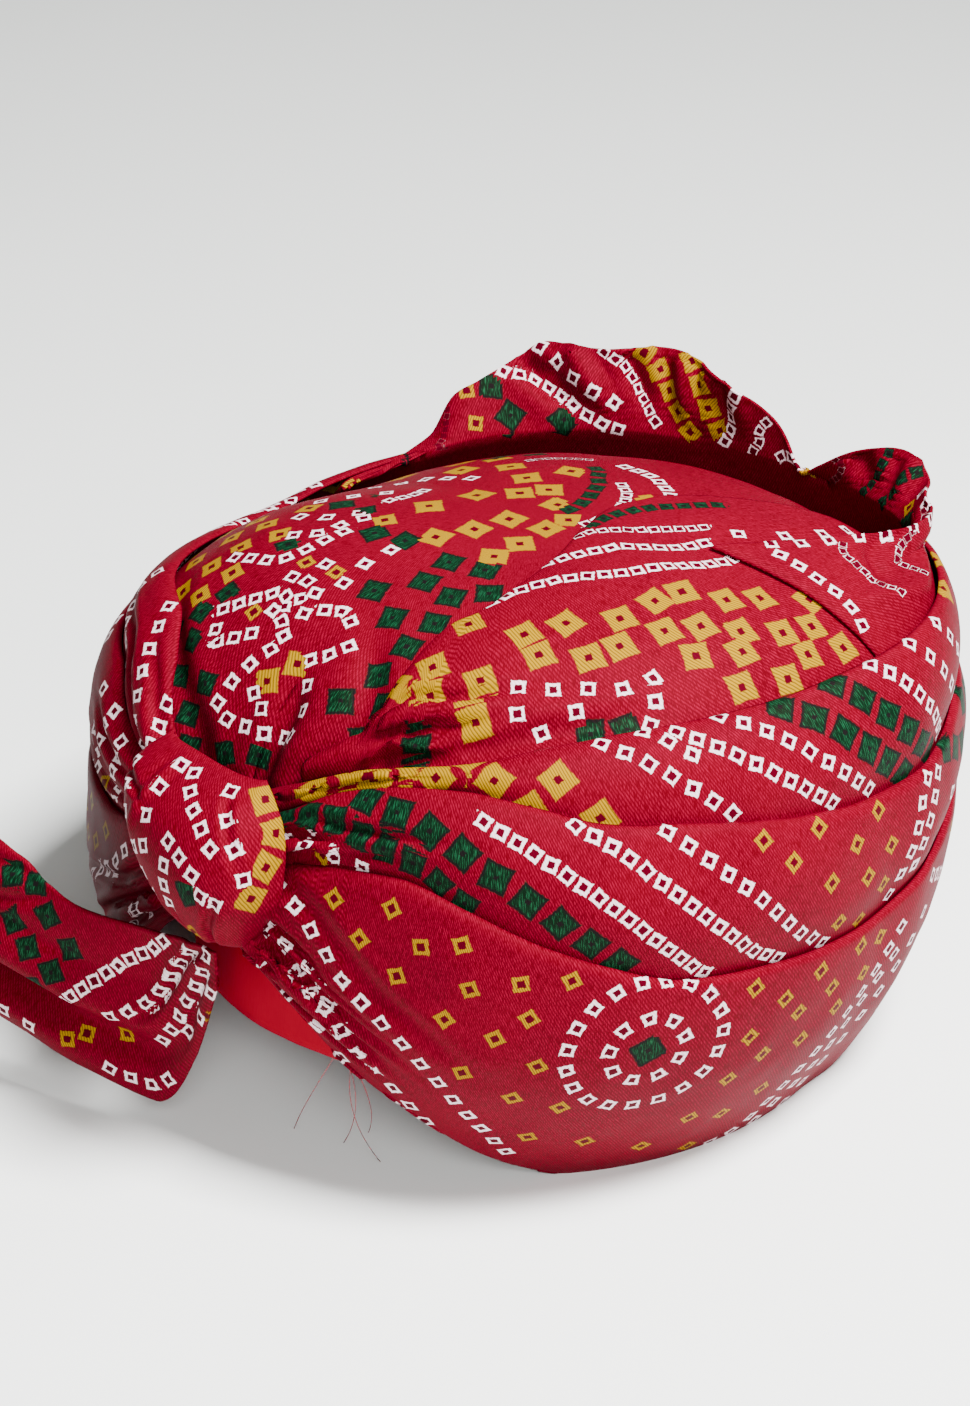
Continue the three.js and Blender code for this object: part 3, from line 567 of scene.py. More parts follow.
class Chart:
    """A sheet of cloth as a grid of points, by a value along it and one across it.

    These are angle and share, or angle and level, side and height, or station and share.
    """

    def __init__(self, along_values, across_values, points):
        self.along = np.asarray(along_values, float)
        self.across = np.asarray(across_values, float)
        self.points = points

    def normals(self):
        run, climb = np.gradient(self.points, axis=0), np.gradient(self.points, axis=1)
        facing = np.cross(run, climb)
        return facing / np.maximum(np.linalg.norm(facing, axis=-1, keepdims=True), 1e-9)

    def sample(self, values, a, s):
        if self.along[0] == 0 and self.along[-1] == 360:
            a = np.asarray(a) % 360
        i = np.interp(a, self.along, np.arange(len(self.along)))
        j = np.interp(s, self.across, np.arange(len(self.across)))
        i0 = np.minimum(i.astype(int), len(self.along) - 2)
        j0 = np.minimum(j.astype(int), len(self.across) - 2)
        u, v = (i - i0)[:, None], (j - j0)[:, None]
        return ((values[i0, j0] * (1 - v) + values[i0, j0 + 1] * v) * (1 - u)
                + (values[i0 + 1, j0] * (1 - v) + values[i0 + 1, j0 + 1] * v) * u)

    def curve(self, path, step):
        """Points, tangents and lengths along a smooth line drawn on the cloth."""
        path = np.array(path, float)
        path[:, 0] = np.unwrap(path[:, 0], period=360)
        knots = np.arange(len(path))
        fine = np.linspace(0, len(path) - 1, 40 * (len(path) - 1) + 1)
        if len(path) > 2:
            slopes = np.gradient(path, axis=0)
            i = np.minimum(fine.astype(int), len(path) - 2)
            t = (fine - i)[:, None]
            flat = ((2 * t ** 3 - 3 * t ** 2 + 1) * path[i] + (t ** 3 - 2 * t ** 2 + t) * slopes[i]
                    + (-2 * t ** 3 + 3 * t ** 2) * path[i + 1] + (t ** 3 - t ** 2) * slopes[i + 1])
        else:
            flat = np.stack([np.interp(fine, knots, path[:, c]) for c in (0, 1)], -1)
        places = self.sample(self.points, flat[:, 0], flat[:, 1])
        lengths = np.concatenate([[0], np.cumsum(np.linalg.norm(np.diff(places, axis=0), axis=1))])
        count = max(2, int(lengths[-1] / step) + 1)
        even = np.linspace(0, lengths[-1], count)
        places = np.stack([np.interp(even, lengths, places[:, c]) for c in range(3)], -1)
        tangents = np.gradient(places, axis=0)
        tangents /= np.maximum(np.linalg.norm(tangents, axis=1, keepdims=True), 1e-9)
        return places, tangents, even

    def local(self, spot):
        """The place of one point of the cloth, and its directions along and across."""
        a, s = np.array([spot[0]], float), np.array([spot[1]], float)
        run = self.sample(np.gradient(self.points, axis=0), a, s)[0]
        climb = self.sample(np.gradient(self.points, axis=1), a, s)[0]
        run /= np.linalg.norm(run)
        climb -= run * climb.dot(run)
        return self.sample(self.points, a, s)[0], run, climb / np.linalg.norm(climb)

    def crease(self, path, depth, half):
        """Presses one fold into the cloth along a line: a groove with a raised lip on both sides of it."""
        pinched, fading, lip, lip_height, reach = 0.15, 0.5, 1.9, 0.5, 6
        places, tangents, _ = self.curve(path, 2)
        facing = self.normals().reshape(-1, 3)
        flat = self.points.reshape(-1, 3)
        squares = (flat ** 2).sum(1)[:, None] - 2 * flat @ places.T + (places ** 2).sum(1)[None]
        nearest = squares.argmin(1)
        offset = flat - places[nearest]
        side = (offset * np.cross(facing, tangents[nearest])).sum(1) / half
        beyond = (offset * tangents[nearest]).sum(1) / (3 * half)
        share = nearest / (len(places) - 1)
        taper = np.clip(share / pinched, 0, 1) * np.clip((1 - share) / fading, 0, 1)
        taper = taper * taper * (3 - 2 * taper) * np.exp(-beyond ** 2)
        near = squares.min(1) < (reach * half) ** 2
        groove = np.exp(-side ** 2) - lip_height * np.exp(-(np.abs(side) - lip) ** 2)
        self.points = (flat - facing * (depth * groove * taper * near)[:, None]).reshape(self.points.shape)

    def rumple(self, amount, size, seed):
        """Lets the cloth wander a little from its smooth shape, except where it meets the table."""
        facing = self.normals()
        away = Vector((seed * 17.0, seed * 5.0, 0))
        flat = self.points.reshape(-1, 3)
        fine, fine_amount, settled = size * 0.4, 0.5, 6
        drift = [noise.noise(Vector(p) / size + away) + fine_amount * noise.noise(Vector(p) / fine + away)
                 for p in flat]
        amounts = amount * np.array(drift).reshape(facing.shape[:2])
        amounts *= np.clip(self.points[..., 2] / settled, 0, 1)
        self.points = self.points + facing * amounts[..., None]
        self.points[..., 2] = np.maximum(self.points[..., 2], 0)


# Motifs are numbered along the row, and each row's numbers start so many above the last row's
ROW_NUMBERS = 64
SAMPLE_STEP = 0.7
LARGEST_HALF = 0.41      # of the pitch, so that the motifs of one row stay apart
LONE_PITCH = 20
INKS = ("white", "yellow", "green")


class Print:
    """The motifs of one sheet, as places along their rows. Each place knows its row's direction."""

    def __init__(self, name, chart):
        self.chart = chart
        self.places, self.tangents, self.steps, self.facts = [], [], [], []
        self.row = 0
        for mirrored, turned, first, last, highest in ((False, 0, -1e9, 1e9, 1e9), *REPEATS.get(name, ())):
            limits = first, last, highest
            for (ink, half), count, *path in ROWS.get(name, ()):
                self.add_row(ink, half, count, self.moved(path, mirrored, turned), limits)
            for (ink, half), tilt, *spots in SPOTS.get(name, ()):
                for spot in self.moved(spots, mirrored, turned):
                    self.add_spot(ink, half, math.radians(tilt), spot, limits)
            for (ink, half), middle, radius, count in RINGS.get(name, ()):
                self.add_ring(ink, half, self.moved([middle], mirrored, turned)[0], radius, count, limits)

    def within(self, path, limits):
        first, last, highest = limits
        return all(first <= angle <= last and share <= highest for angle, share in path)

    def moved(self, path, mirrored, turned):
        """The same line further round the head."""
        if turned == 0:
            return [tuple(point) for point in path]
        return [((turned - a if mirrored else turned + a) % 360, s) for a, s in path]

    def add(self, ink, half, pitch, places, tangents, steps, count):
        self.places.append(places)
        self.tangents.append(tangents)
        first = ROW_NUMBERS * self.row
        self.steps.append(np.asarray(steps, float) + first)
        inks = [half if ink == known else 0 for known in INKS]
        self.facts.append(np.tile([pitch, *inks, first, count], (len(places), 1)))
        self.row += 1

    def add_row(self, ink, half, count, path, limits):
        if not self.within(path, limits):
            return
        places, tangents, lengths = self.chart.curve(path, SAMPLE_STEP)
        pitch = lengths[-1] / (count - 1)
        half = min(half, LARGEST_HALF * pitch)
        self.add(ink, half, pitch, places, tangents, lengths / pitch + 0.5, count)

    def add_spot(self, ink, half, tilt, spot, limits):
        if not self.within([spot], limits):
            return
        place, run, climb = self.chart.local(spot)
        tangent = run * math.cos(tilt) + climb * math.sin(tilt)
        self.add(ink, half, LONE_PITCH, place[None], tangent[None], [0.5], 1)

    def add_ring(self, ink, half, middle, radius, count, limits):
        if not self.within([middle], limits):
            return
        place, run, climb = self.chart.local(middle)
        turn = np.linspace(0, 2 * np.pi, 12 * count, endpoint=False)
        around = np.cos(turn)[:, None] * run + np.sin(turn)[:, None] * climb
        tangents = np.cos(turn)[:, None] * climb - np.sin(turn)[:, None] * run
        flat = self.chart.points.reshape(-1, 3)
        wanted = place + radius * around
        found = [flat[((flat - one) ** 2).sum(1).argmin()] for one in wanted]
        lift = ((np.array(found) - wanted) * np.cross(run, climb)).sum(1, keepdims=True)
        pitch = 2 * np.pi * radius / count
        steps = turn * radius / pitch
        self.add(ink, half, pitch, wanted + lift * np.cross(run, climb), tangents, steps, count)

    def corners(self, quads):
        """For each face's corners, by their points: where they are in the nearest motif, and its ink."""
        places, tangents = np.concatenate(self.places), np.concatenate(self.tangents)
        steps, facts = np.concatenate(self.steps), np.concatenate(self.facts)
        tree = kdtree.KDTree(len(places))
        for i, place in enumerate(places):
            tree.insert(place, i)
        tree.balance()
        middles = quads.mean(1)
        nearest = np.array([tree.find(middle)[1] for middle in middles])
        facing = np.cross(quads[:, 2] - quads[:, 0], quads[:, 3] - quads[:, 1])
        facing /= np.maximum(np.linalg.norm(facing, axis=1, keepdims=True), 1e-9)
        ahead = tangents[nearest]
        sideways = np.cross(facing, ahead)
        sideways /= np.maximum(np.linalg.norm(sideways, axis=1, keepdims=True), 1e-9)
        pitch, halves, first, count = np.split(facts[nearest], (1, 4, 5), axis=1)
        offsets = quads - places[nearest][:, None]
        along_row = (offsets * ahead[:, None]).sum(2) / pitch + steps[nearest][:, None]
        across_row = (offsets * sideways[:, None]).sum(2)
        motif = np.floor(along_row.mean(1, keepdims=True) - first)
        away = np.linalg.norm(middles - places[nearest], axis=1, keepdims=True)
        near = away < 1.5 * halves.sum(1, keepdims=True) + 1.5
        inked = near & (motif >= 0) & (motif < count)
        cells = np.stack([along_row, across_row, np.broadcast_to(pitch, along_row.shape)], -1)
        return cells, np.repeat((halves * inked)[:, None], 4, axis=1)


def store(mesh, name, values):
    layer = mesh.attributes.new(name, "FLOAT_VECTOR", "CORNER")
    layer.data.foreach_set("vector", np.ascontiguousarray(values, dtype=np.float32).ravel())


def stand_on_table(mesh):
    """Presses what would reach below the table up to its top."""
    places = np.empty(len(mesh.vertices) * 3)
    mesh.vertices.foreach_get("co", places)
    places[2::3] = np.maximum(places[2::3], 0)
    mesh.vertices.foreach_set("co", places)
    mesh.update()


def new_sheet(name, chart, thickness, closed=False):
    """A fine grid laid out as the chart says, given its thickness, with its flat size as its UV map."""
    rows, cols = len(chart.across), len(chart.along)
    bpy.ops.object.select_all(action="DESELECT")
    bpy.ops.mesh.primitive_grid_add(x_subdivisions=cols - 1, y_subdivisions=rows - 1, size=2)
    sheet = bpy.context.object
    sheet.name = sheet.data.name = f"cloth_{name}"
    mesh = sheet.data
    flat = np.empty(len(mesh.vertices) * 3)
    mesh.vertices.foreach_get("co", flat)
    flat = flat.reshape(-1, 3)
    i = np.rint((flat[:, 0] + 1) / 2 * (cols - 1)).astype(int)
    j = np.rint((flat[:, 1] + 1) / 2 * (rows - 1)).astype(int)
    placed = chart.points[i, j] * MM + np.array([HEAD_X, HEAD_Y, 0])
    mesh.vertices.foreach_set("co", placed.ravel())
    middle = chart.points[:, rows // 2]
    run = np.concatenate([[0], np.cumsum(np.linalg.norm(np.diff(middle, axis=0), axis=1))])
    climb = np.cumsum(np.linalg.norm(np.diff(chart.points, axis=1), axis=2), axis=1)
    climb = np.concatenate([np.zeros((cols, 1)), climb], axis=1)
    corners = np.empty(len(mesh.loops), int)
    mesh.loops.foreach_get("vertex_index", corners)
    cloth_uv = np.stack([run[i[corners]], climb[i[corners], j[corners]]], -1) * MM
    mesh.uv_layers.active.name = "cloth"
    mesh.uv_layers.active.data.foreach_set("uv", cloth_uv.ravel())
    if name in ROWS:
        cells, inks = Print(name, chart).corners(chart.points[i[corners], j[corners]].reshape(-1, 4, 3))
        store(mesh, "print_cell", cells)
        store(mesh, "print_ink", inks)
    mesh.update()
    if closed:
        bpy.ops.object.mode_set(mode="EDIT")
        bpy.ops.mesh.select_all(action="SELECT")
        bpy.ops.mesh.remove_doubles(threshold=0.02 * MM)
        bpy.ops.object.mode_set(mode="OBJECT")
    wall = sheet.modifiers.new("wall", "SOLIDIFY")
    wall.thickness = thickness
    wall.offset = -1
    wall.use_even_offset = False
    bpy.ops.object.modifier_apply(modifier=wall.name)
    stand_on_table(mesh)
    bpy.ops.object.shade_smooth()
    sheet.location = (0, 0, 0)
    return sheet


def finish_sheet(sheet, node):
    """Hangs the finished sheet under the root body and hides the packed part it stands for."""
    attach(sheet, "root")
    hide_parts(node)


def spread(low, high, step):
    """Evenly spaced values from low to high, about a step apart."""
    return np.linspace(low, high, max(2, round((high - low) / step) + 1))


def edged(tucked_rows, face, width, fold):
    """Shares across a wrap: below 0 where it is tucked in, 0 to 1 where it shows, finer round its folds."""
    step = face / width
    roll = fold / width
    shown = spread(roll, 1 - roll, step)
    turn = np.linspace(0, roll, 6)[:-1]
    hidden = np.linspace(-1, 0, tucked_rows + 1)[:-1]
    return np.concatenate([hidden, turn, shown, 1 - turn[::-1]])


def side_wrap(sizes, low, shown, top, layer, swell, pleats, width, tucked_rows):
    """One turn round the head, from its tucked edge, under the wrap below it, up to its own fold."""
    face, fold = sizes.face_size / MM, sizes.fold / MM
    angles = spread(SIDE_FROM, SIDE_TO, math.degrees(face / BELLY_RADIUS))
    shares = edged(tucked_rows, face, width, fold)
    angle, share = np.meshgrid(angles, shares, indexing="ij")
    under, start, end = low(angle), shown(angle), top(angle)
    level = np.where(share < 0, start + (start - under) * share, start + (end - start) * share)
    across = (end - start) * LEVEL_HEIGHT
    drop = rolled((1 - share) * across, fold)
    off = standoff(angle, layer) + swell_between(share, angle, swell, pleats) - drop
    return Chart(angles, shares, on_body(angle, level, off))


def level_of(table):
    return lambda angle: along(table, "level", angle)


def tucked_below(shown, depth):
    """The hidden edge of a wrap, which reaches some way under the wrap below, except at the knot."""
    return lambda angle: shown(angle) - depth * (1 - gather(angle, TUCK_REACH))


def lower_wrap(sizes):
    """Its one tucked row lies on its hem, because no wrap is below it."""
    hem = level_of(HEM)
    return side_wrap(sizes, hem, hem, level_of(LOWER_TOP),
                     layer=2, swell=2.4, pleats=3, width=72, tucked_rows=1)


def middle_wrap(sizes):
    shown = level_of(LOWER_TOP)
    return side_wrap(sizes, tucked_below(shown, 0.16), shown, level_of(MIDDLE_TOP),
                     layer=1, swell=2.6, pleats=2, width=26, tucked_rows=5)


def upper_wrap(sizes):
    shown = level_of(MIDDLE_TOP)
    return side_wrap(sizes, tucked_below(shown, 0.14), shown, level_of(UPPER_TOP),
                     layer=0, swell=2.2, pleats=1, width=22, tucked_rows=5)


def lining_cap(sizes):
    """The plain inner cap: half an oval shell with a low arch at the nape."""
    long, wide, height, arch_height, arch_angle, fullness = 101, 84, 126, 29.5, 64, 2.6
    step, rows = 1.2, 60
    angles, shares = spread(0, 360, step), spread(0, 1, 1 / rows)
    angle, share = np.meshgrid(angles, shares, indexing="ij")
    a = np.radians(angle)
    radius = long * wide / np.hypot(wide * np.cos(a), long * np.sin(a))
    away = np.minimum(angle, 360 - angle)
    arch = arch_height * (1 - np.minimum(away / arch_angle, 1) ** 3)
    turn = share * np.pi / 2
    c, s = np.abs(np.cos(turn)), np.abs(np.sin(turn))
    c = np.where(share == 1, 0, c)
    bulk = (c ** fullness + s ** fullness) ** (1 / fullness)
    rise = arch + (height - arch) * s / bulk
    return Chart(angles, shares, polar(angle, radius * c / bulk, rise))


def crown_cover(sizes):
    """The cloth over the top of the cap. Across it, its chart has the level."""
    lowest, radius, length = 1.02, 70, 110
    face = sizes.face_size / MM
    angles, levels = spread(0, 360, math.degrees(face / radius)), spread(lowest, 2, face / length)
    angle, level = np.meshgrid(angles, levels, indexing="ij")
    points = on_body(angle, level, 0, "crown")
    points[:, -1, :2] = 0
    return Chart(angles, levels, points)


def crown_wrap(sizes):
    """The turn of cloth over the crown on the wearer's right. It lies flatter towards the crest."""
    first, last, radius, width, level_height = 12, 150, 95, 45, 90
    tuck, lift, swell, flat_from, flattening = 0.16, 0.4, 3, 112, 20
    face, fold = sizes.face_size / MM, sizes.fold / MM
    angles, shares = spread(first, last, math.degrees(face / radius)), edged(7, face, width, fold)
    angle, share = np.meshgrid(angles, shares, indexing="ij")
    start, end = along(UPPER_TOP, "level", angle), along(CROWN_EDGE, "level", angle)
    level = np.where(share < 0, start + tuck * share, start + (end - start) * share)
    opened = np.clip((flat_from - angle) / flattening, 0, 1)
    swell = np.where(share > 0, swell * np.sin(np.pi * np.clip(share, 0, 1)) * opened, 0)
    drop = rolled((1 - share) * (end - start) * level_height, fold)
    return Chart(angles, shares, on_body(angle, level, LAYER + lift + swell - drop, "crown"))


def crest_fan(sizes):
    """The ruffled crest, which leaves the crown over the forehead."""
    height_shown, tucked_rows, ruffle_height, flare = 62, 9, 3, 1.2
    side_turn, side_drop, settling, beside_to, beside_over = 3, 1.1, 0.25, 132, 14
    face = sizes.face_size / MM
    first, last = CREST_RIM["angle"][0], CREST_RIM["angle"][-1]
    angles = spread(first, last, math.degrees(face / BELLY_RADIUS))
    shares = np.concatenate([np.linspace(-1, 0, tucked_rows + 1)[:-1], spread(0, 1, face / height_shown)])
    angle, share = np.meshgrid(angles, shares, indexing="ij")
    turned = np.clip(1 - np.minimum(angle - first, last - angle) / side_turn, 0, 1)
    off = 2 * LAYER - side_drop * turned ** 2
    leaves = along(UPPER_TOP, "level", angle) + 0.02
    t = np.clip(share, 0, 1)
    beside = np.clip((beside_to - angle) / beside_over, 0, 1)
    settled = np.maximum(np.clip(t / settling, 0, 1), beside)
    settled = (settled * settled * (3 - 2 * settled))[..., None]

    def laid(level):
        """On the upper wrap's body at the foot, and on the crown's, which is lower, away from it."""
        return on_body(angle, level, off) * (1 - settled) + on_body(angle, level, off, "crown") * settled

    tucked = laid(leaves + (leaves - CREST_FOOT_LEVEL) * np.minimum(share, 0))
    rim = {key: along(CREST_RIM, key, angle) for key in ("free", "radius", "height", "level")}
    lies = laid(leaves + (rim["level"] - leaves) * t)
    radius, height, out, up = body_section(angle, leaves)
    radius, height = radius + out * off, height + up * off
    turn = (angle - first) / (last - first)
    ruffle = ruffle_height * t * np.sin(CREST_RUFFLES * 2 * np.pi * turn)
    stands = polar(angle, radius + (rim["radius"] - radius) * t ** flare + ruffle,
                   height + (rim["height"] - height) * t)
    free = rim["free"][..., None]
    shown = lies + (stands - lies) * free
    return Chart(angles, shares, np.where((share < 0)[..., None], tucked, shown))


def knot_loop(sizes):
    """The rounded loop over the gathered turns. Its chart has the side along it and the height across it."""
    columns_round, belly_height, level_height = 70, 70, 160
    squareness, fullness, closing, closing_power = 2.4, 0.62, 4.5, 8
    face = sizes.face_size / MM
    heights = spread(KNOT["angle"][0], KNOT["angle"][-1], face * 0.6)
    sides = np.sin(np.linspace(-np.pi / 2, np.pi / 2, columns_round))
    side, height = np.meshgrid(sides, heights, indexing="ij")
    angle = along(KNOT, "middle", height) + along(KNOT, "half", height) * side
    level = 1 + (height - belly_height) / level_height
    base = body_section(angle, level)[0] + standoff(angle, 3) + KNOT_CLEARANCE
    bulge = along(KNOT, "depth", height) * (1 - np.abs(side) ** squareness) ** fullness
    middle = (heights[0] + heights[-1]) / 2
    ends = np.maximum(np.abs(side), np.abs(height - middle) / (heights[-1] - middle))
    return Chart(sides, heights, polar(angle, base + bulge - closing * ends ** closing_power, height))


def tail(sizes):
    """The folded free end, which hangs out of the knot. Its chart has stations, from -7 at its end to 0."""
    station_step, rows, pleat_height, pleat_top = 0.06, 56, 0.55, 0.7
    valley, valley_width, turned_from = 0.3, 0.11, 0.75
    stations, shares = spread(0, 7, station_step), spread(0, 1, 1 / rows)
    station, share = np.meshgrid(stations, shares, indexing="ij")
    keys = "x", "y", "top", "low", "fold", "roll"
    x, y, top, low, fold, roll = (along(TAIL, key, station) for key in keys)
    ahead = np.stack([np.gradient(x, axis=0), np.gradient(y, axis=0)], -1)
    ahead /= np.linalg.norm(ahead, axis=-1, keepdims=True)
    pleat = pleat_height * np.sin(np.pi * np.minimum(share / pleat_top, 1))
    pleat = fold * (pleat - np.exp(-((share - valley) / valley_width) ** 2))
    out = pleat - roll * np.maximum(0, (share - turned_from) / (1 - turned_from)) ** 2
    points = np.stack([x - ahead[..., 1] * out, y + ahead[..., 0] * out, low + (top - low) * share], -1)
    return Chart(stations[::-1] * -1, shares, points[::-1])


# Each sheet's shape, its flat size in metres, how it is held and what it rests on
PIECES = {
    "lining_cap": (lining_cap, (0.57, 0.145), "gathered", ["crown_cover"]),
    "crown_cover": (crown_cover, (0.50, 0.14), "gathered", ["lining_cap"]),
    "crown_wrap": (crown_wrap, (0.24, 0.08), "gathered", ["crown_cover"]),
    "side_wrap_upper": (upper_wrap, (0.72, 0.045), "gathered", ["crown_cover"]),
    "side_wrap_middle": (middle_wrap, (0.73, 0.055), "gathered", ["side_wrap_upper"]),
    "side_wrap_lower": (lower_wrap, (0.73, 0.085), "gathered", ["side_wrap_middle"]),
    "crest_fan": (crest_fan, (0.30, 0.065), "gathered", ["side_wrap_upper"]),
    "knot_loop": (knot_loop, (0.065, 0.055), "gathered", ["side_wrap_lower"]),
    "tail": (tail, (0.15, 0.065), "folded", ["knot_loop"]),
}


def build_piece(name):
    """Lays out one sheet, folds and rumples it, makes its mesh, gives it its material, hangs it under the
    root body and hides its packed part.
    """
    sizes = bpy.context.scene.turban_sizes
    colours = bpy.context.scene.turban_colours
    shape, flat, held, rests_on = PIECES[name]
    chart = shape(sizes)
    for depth, half, *line in FOLDS.get(name, ()):
        chart.crease(line, depth, half)
    chart.rumple(sizes.rumple / MM, RUMPLE_SIZE, RUMPLE_SEED)
    is_lining = name == "lining_cap"
    thickness = sizes.lining if is_lining else sizes.cloth
    sheet = new_sheet(name, chart, thickness, closed=name in ("lining_cap", "crown_cover"))
    sheet.data.materials.append(lining_cloth(colours) if is_lining else printed_cloth(colours))
    finish_sheet(sheet, name)
    return sheet


class Desk:
    """Adds nodes to one node tree and joins them up."""

    def __init__(self, tree):
        self.tree = tree

    def join(self, value, socket):
        self.tree.links.new(value, socket)

    def node(self, kind, links=(), **settings):
        made = self.tree.nodes.new(kind)
        for key, value in settings.items():
            setattr(made, key, value)
        for socket, value in dict(links).items():
            if isinstance(value, bpy.types.NodeSocket):
                self.join(value, made.inputs[socket])
            else:
                made.inputs[socket].default_value = value
        return made

    def math(self, operation, *values):
        return self.node("ShaderNodeMath", enumerate(values), operation=operation).outputs[0]

    def times(self, first, *others):
        for other in others:
            first = self.math("MULTIPLY", first, other)
        return first

    def less(self, first, second):
        return self.math("SUBTRACT", first, second)

    def vector(self, operation, *values):
        return self.node("ShaderNodeVectorMath", enumerate(values), operation=operation).outputs[0]

    def scaled(self, vector, factor):
        return self.node("ShaderNodeVectorMath", {0: vector, "Scale": factor}, operation="SCALE").outputs[0]

    def parts(self, vector):
        return self.node("ShaderNodeSeparateXYZ", {0: vector}).outputs

    def stored(self, attribute):
        """The three values of a mesh attribute."""
        return self.parts(self.node("ShaderNodeAttribute", attribute_name=attribute).outputs["Vector"])

    def place(self, kind="Object"):
        return self.node("ShaderNodeTexCoord").outputs[kind]

    def noise(self, vector, scale, detail, output="Fac", **settings):
        return self.node("ShaderNodeTexNoise", {"Vector": vector, "Scale": scale, "Detail": detail},
                         **settings).outputs[output]

    def ramp(self, value, low, high):
        """0 at low, 1 at high, eased between."""
        return self.node("ShaderNodeMapRange", {"Value": value, "From Min": low, "From Max": high},
                         interpolation_type="SMOOTHSTEP").outputs[0]

    def blend(self, factor, first, second):
        """The first colour where the factor is 0, and the second where it is 1."""
        factor_socket, first_socket, second_socket = 0, 6, 7
        colours = {
            socket: value if isinstance(value, bpy.types.NodeSocket) else (*value, 1)
            for socket, value in ((first_socket, first), (second_socket, second))
        }
        return self.node("ShaderNodeMix", {factor_socket: factor, **colours}, data_type="RGBA").outputs[2]


def new_group(name, inputs, outputs):
    """An empty shader node group with named sockets. Each input has a name and a default."""
    tree = bpy.data.node_groups.new(name, "ShaderNodeTree")
    for socket, default in inputs:
        made = tree.interface.new_socket(name=socket, in_out="INPUT", socket_type="NodeSocketFloat")
        made.default_value = default
    for socket in outputs:
        tree.interface.new_socket(name=socket, in_out="OUTPUT", socket_type="NodeSocketFloat")
    return Desk(tree), tree.nodes.new("NodeGroupInput").outputs, tree.nodes.new("NodeGroupOutput").inputs


def motif_group():
    """The tied-and-dyed squares: ragged, pinched at their sides, each a little turned, with a hole."""
    if "Bandhani motif" in bpy.data.node_groups:
        return bpy.data.node_groups["Bandhani motif"]
    desk, given, result = new_group(
        "Bandhani motif",
        (("Ragged", 0.7), ("Turn", 0.45), ("Core", 0.85)),
        ("White", "Yellow", "Green", "Rim", "Hole"))
    least_half, rag_scale = 0.2, 1100
    number_along, across, pitch = desk.stored("print_cell")
    halves = desk.stored("print_ink")
    half = desk.math("ADD", desk.math("ADD", halves[0], halves[1]), halves[2])
    guarded = desk.math("MAXIMUM", half, 0.05)
    number = desk.math("FLOOR", number_along)
    chance = desk.node("ShaderNodeTexWhiteNoise", {"W": number}, noise_dimensions="1D").outputs["Value"]
    turn = desk.times(desk.less(chance, 0.5), given["Turn"])
    ahead = desk.times(desk.less(desk.less(number_along, number), 0.5), pitch)
    spot = desk.node("ShaderNodeCombineXYZ", {0: ahead, 1: across}).outputs[0]
    turned = desk.node("ShaderNodeVectorRotate", {"Vector": spot, "Angle": turn}, rotation_type="Z_AXIS")
    wander = desk.noise(desk.place(), rag_scale, 1.0, "Color")
    shift = desk.scaled(desk.vector("SUBTRACT", wander, (0.5, 0.5, 0.5)), given["Ragged"])
    x, y, _ = desk.parts(desk.vector("ABSOLUTE", desk.vector("ADD", turned.outputs[0], shift)))
    far = desk.math("MAXIMUM", x, y)
    near = desk.math("DIVIDE", desk.math("MINIMUM", x, y), guarded)
    share = desk.math("DIVIDE", far, guarded)
    pinch = desk.times(desk.less(1.0, desk.times(near, near)), 0.05)
    edge = desk.math("ADD", share, pinch)
    inside = desk.times(desk.ramp(edge, 1.06, 0.94), desk.math("GREATER_THAN", half, least_half))
    is_green = desk.math("GREATER_THAN", halves[2], least_half)
    core = desk.math("ADD", given["Core"], desk.times(chance, 0.2))
    core = desk.less(core, desk.times(is_green, 0.35))
    hole = desk.ramp(far, desk.math("ADD", core, 0.15), desk.less(core, 0.1))
    whole = desk.times(inside, desk.less(1.0, hole))
    for index, (name, shape) in enumerate((("White", whole), ("Yellow", whole), ("Green", inside))):
        inked = desk.math("GREATER_THAN", halves[index], least_half)
        desk.join(desk.times(shape, inked), result[name])
    rim = desk.times(inside, desk.ramp(edge, 0.74, 0.9))
    heart = desk.times(inside, hole, is_green)
    desk.join(desk.math("MAXIMUM", rim, heart), result["Rim"])
    desk.join(desk.times(inside, hole, desk.less(1.0, is_green)), result["Hole"])
    return desk.tree


def twill_group():
    """The fine slanting ribs of the cloth, with uneven threads. Its sizes are in millimetres."""
    if "Twill" in bpy.data.node_groups:
        return bpy.data.node_groups["Twill"]
    desk, given, result = new_group("Twill", (("Rib", 0.95), ("Slant", 0.6)), ("Rib", "Thread", "Cloud"))
    wobble_scale, wobble_amount, cloud_scale = 260, 0.7, 38
    flat = desk.scaled(desk.place("UV"), 1000.0)
    along_cloth, across_cloth, _ = desk.parts(flat)
    wobble = desk.noise(desk.place(), wobble_scale, 2.0)
    slanted = desk.math("ADD", along_cloth, desk.times(across_cloth, given["Slant"]))
    run = desk.math("ADD", desk.math("DIVIDE", slanted, given["Rib"]), desk.times(wobble, wobble_amount))
    rib = desk.math("SINE", desk.times(run, 2 * math.pi))
    desk.join(desk.math("MULTIPLY_ADD", rib, 0.5, 0.5), result["Rib"])
    stretched = desk.vector("MULTIPLY", flat, (4.0, 0.35, 1.0))
    desk.join(desk.noise(stretched, 1.0, 2.0, noise_dimensions="2D"), result["Thread"])
    desk.join(desk.noise(desk.place(), cloud_scale, 3.0), result["Cloud"])
    return desk.tree


def new_material(name):
    material = bpy.data.materials.new(name)
    material.use_nodes = True
    return material, Desk(material.node_tree), material.node_tree.nodes["Principled BSDF"]


def tinted(colour, factor):
    return [channel * factor for channel in colour]


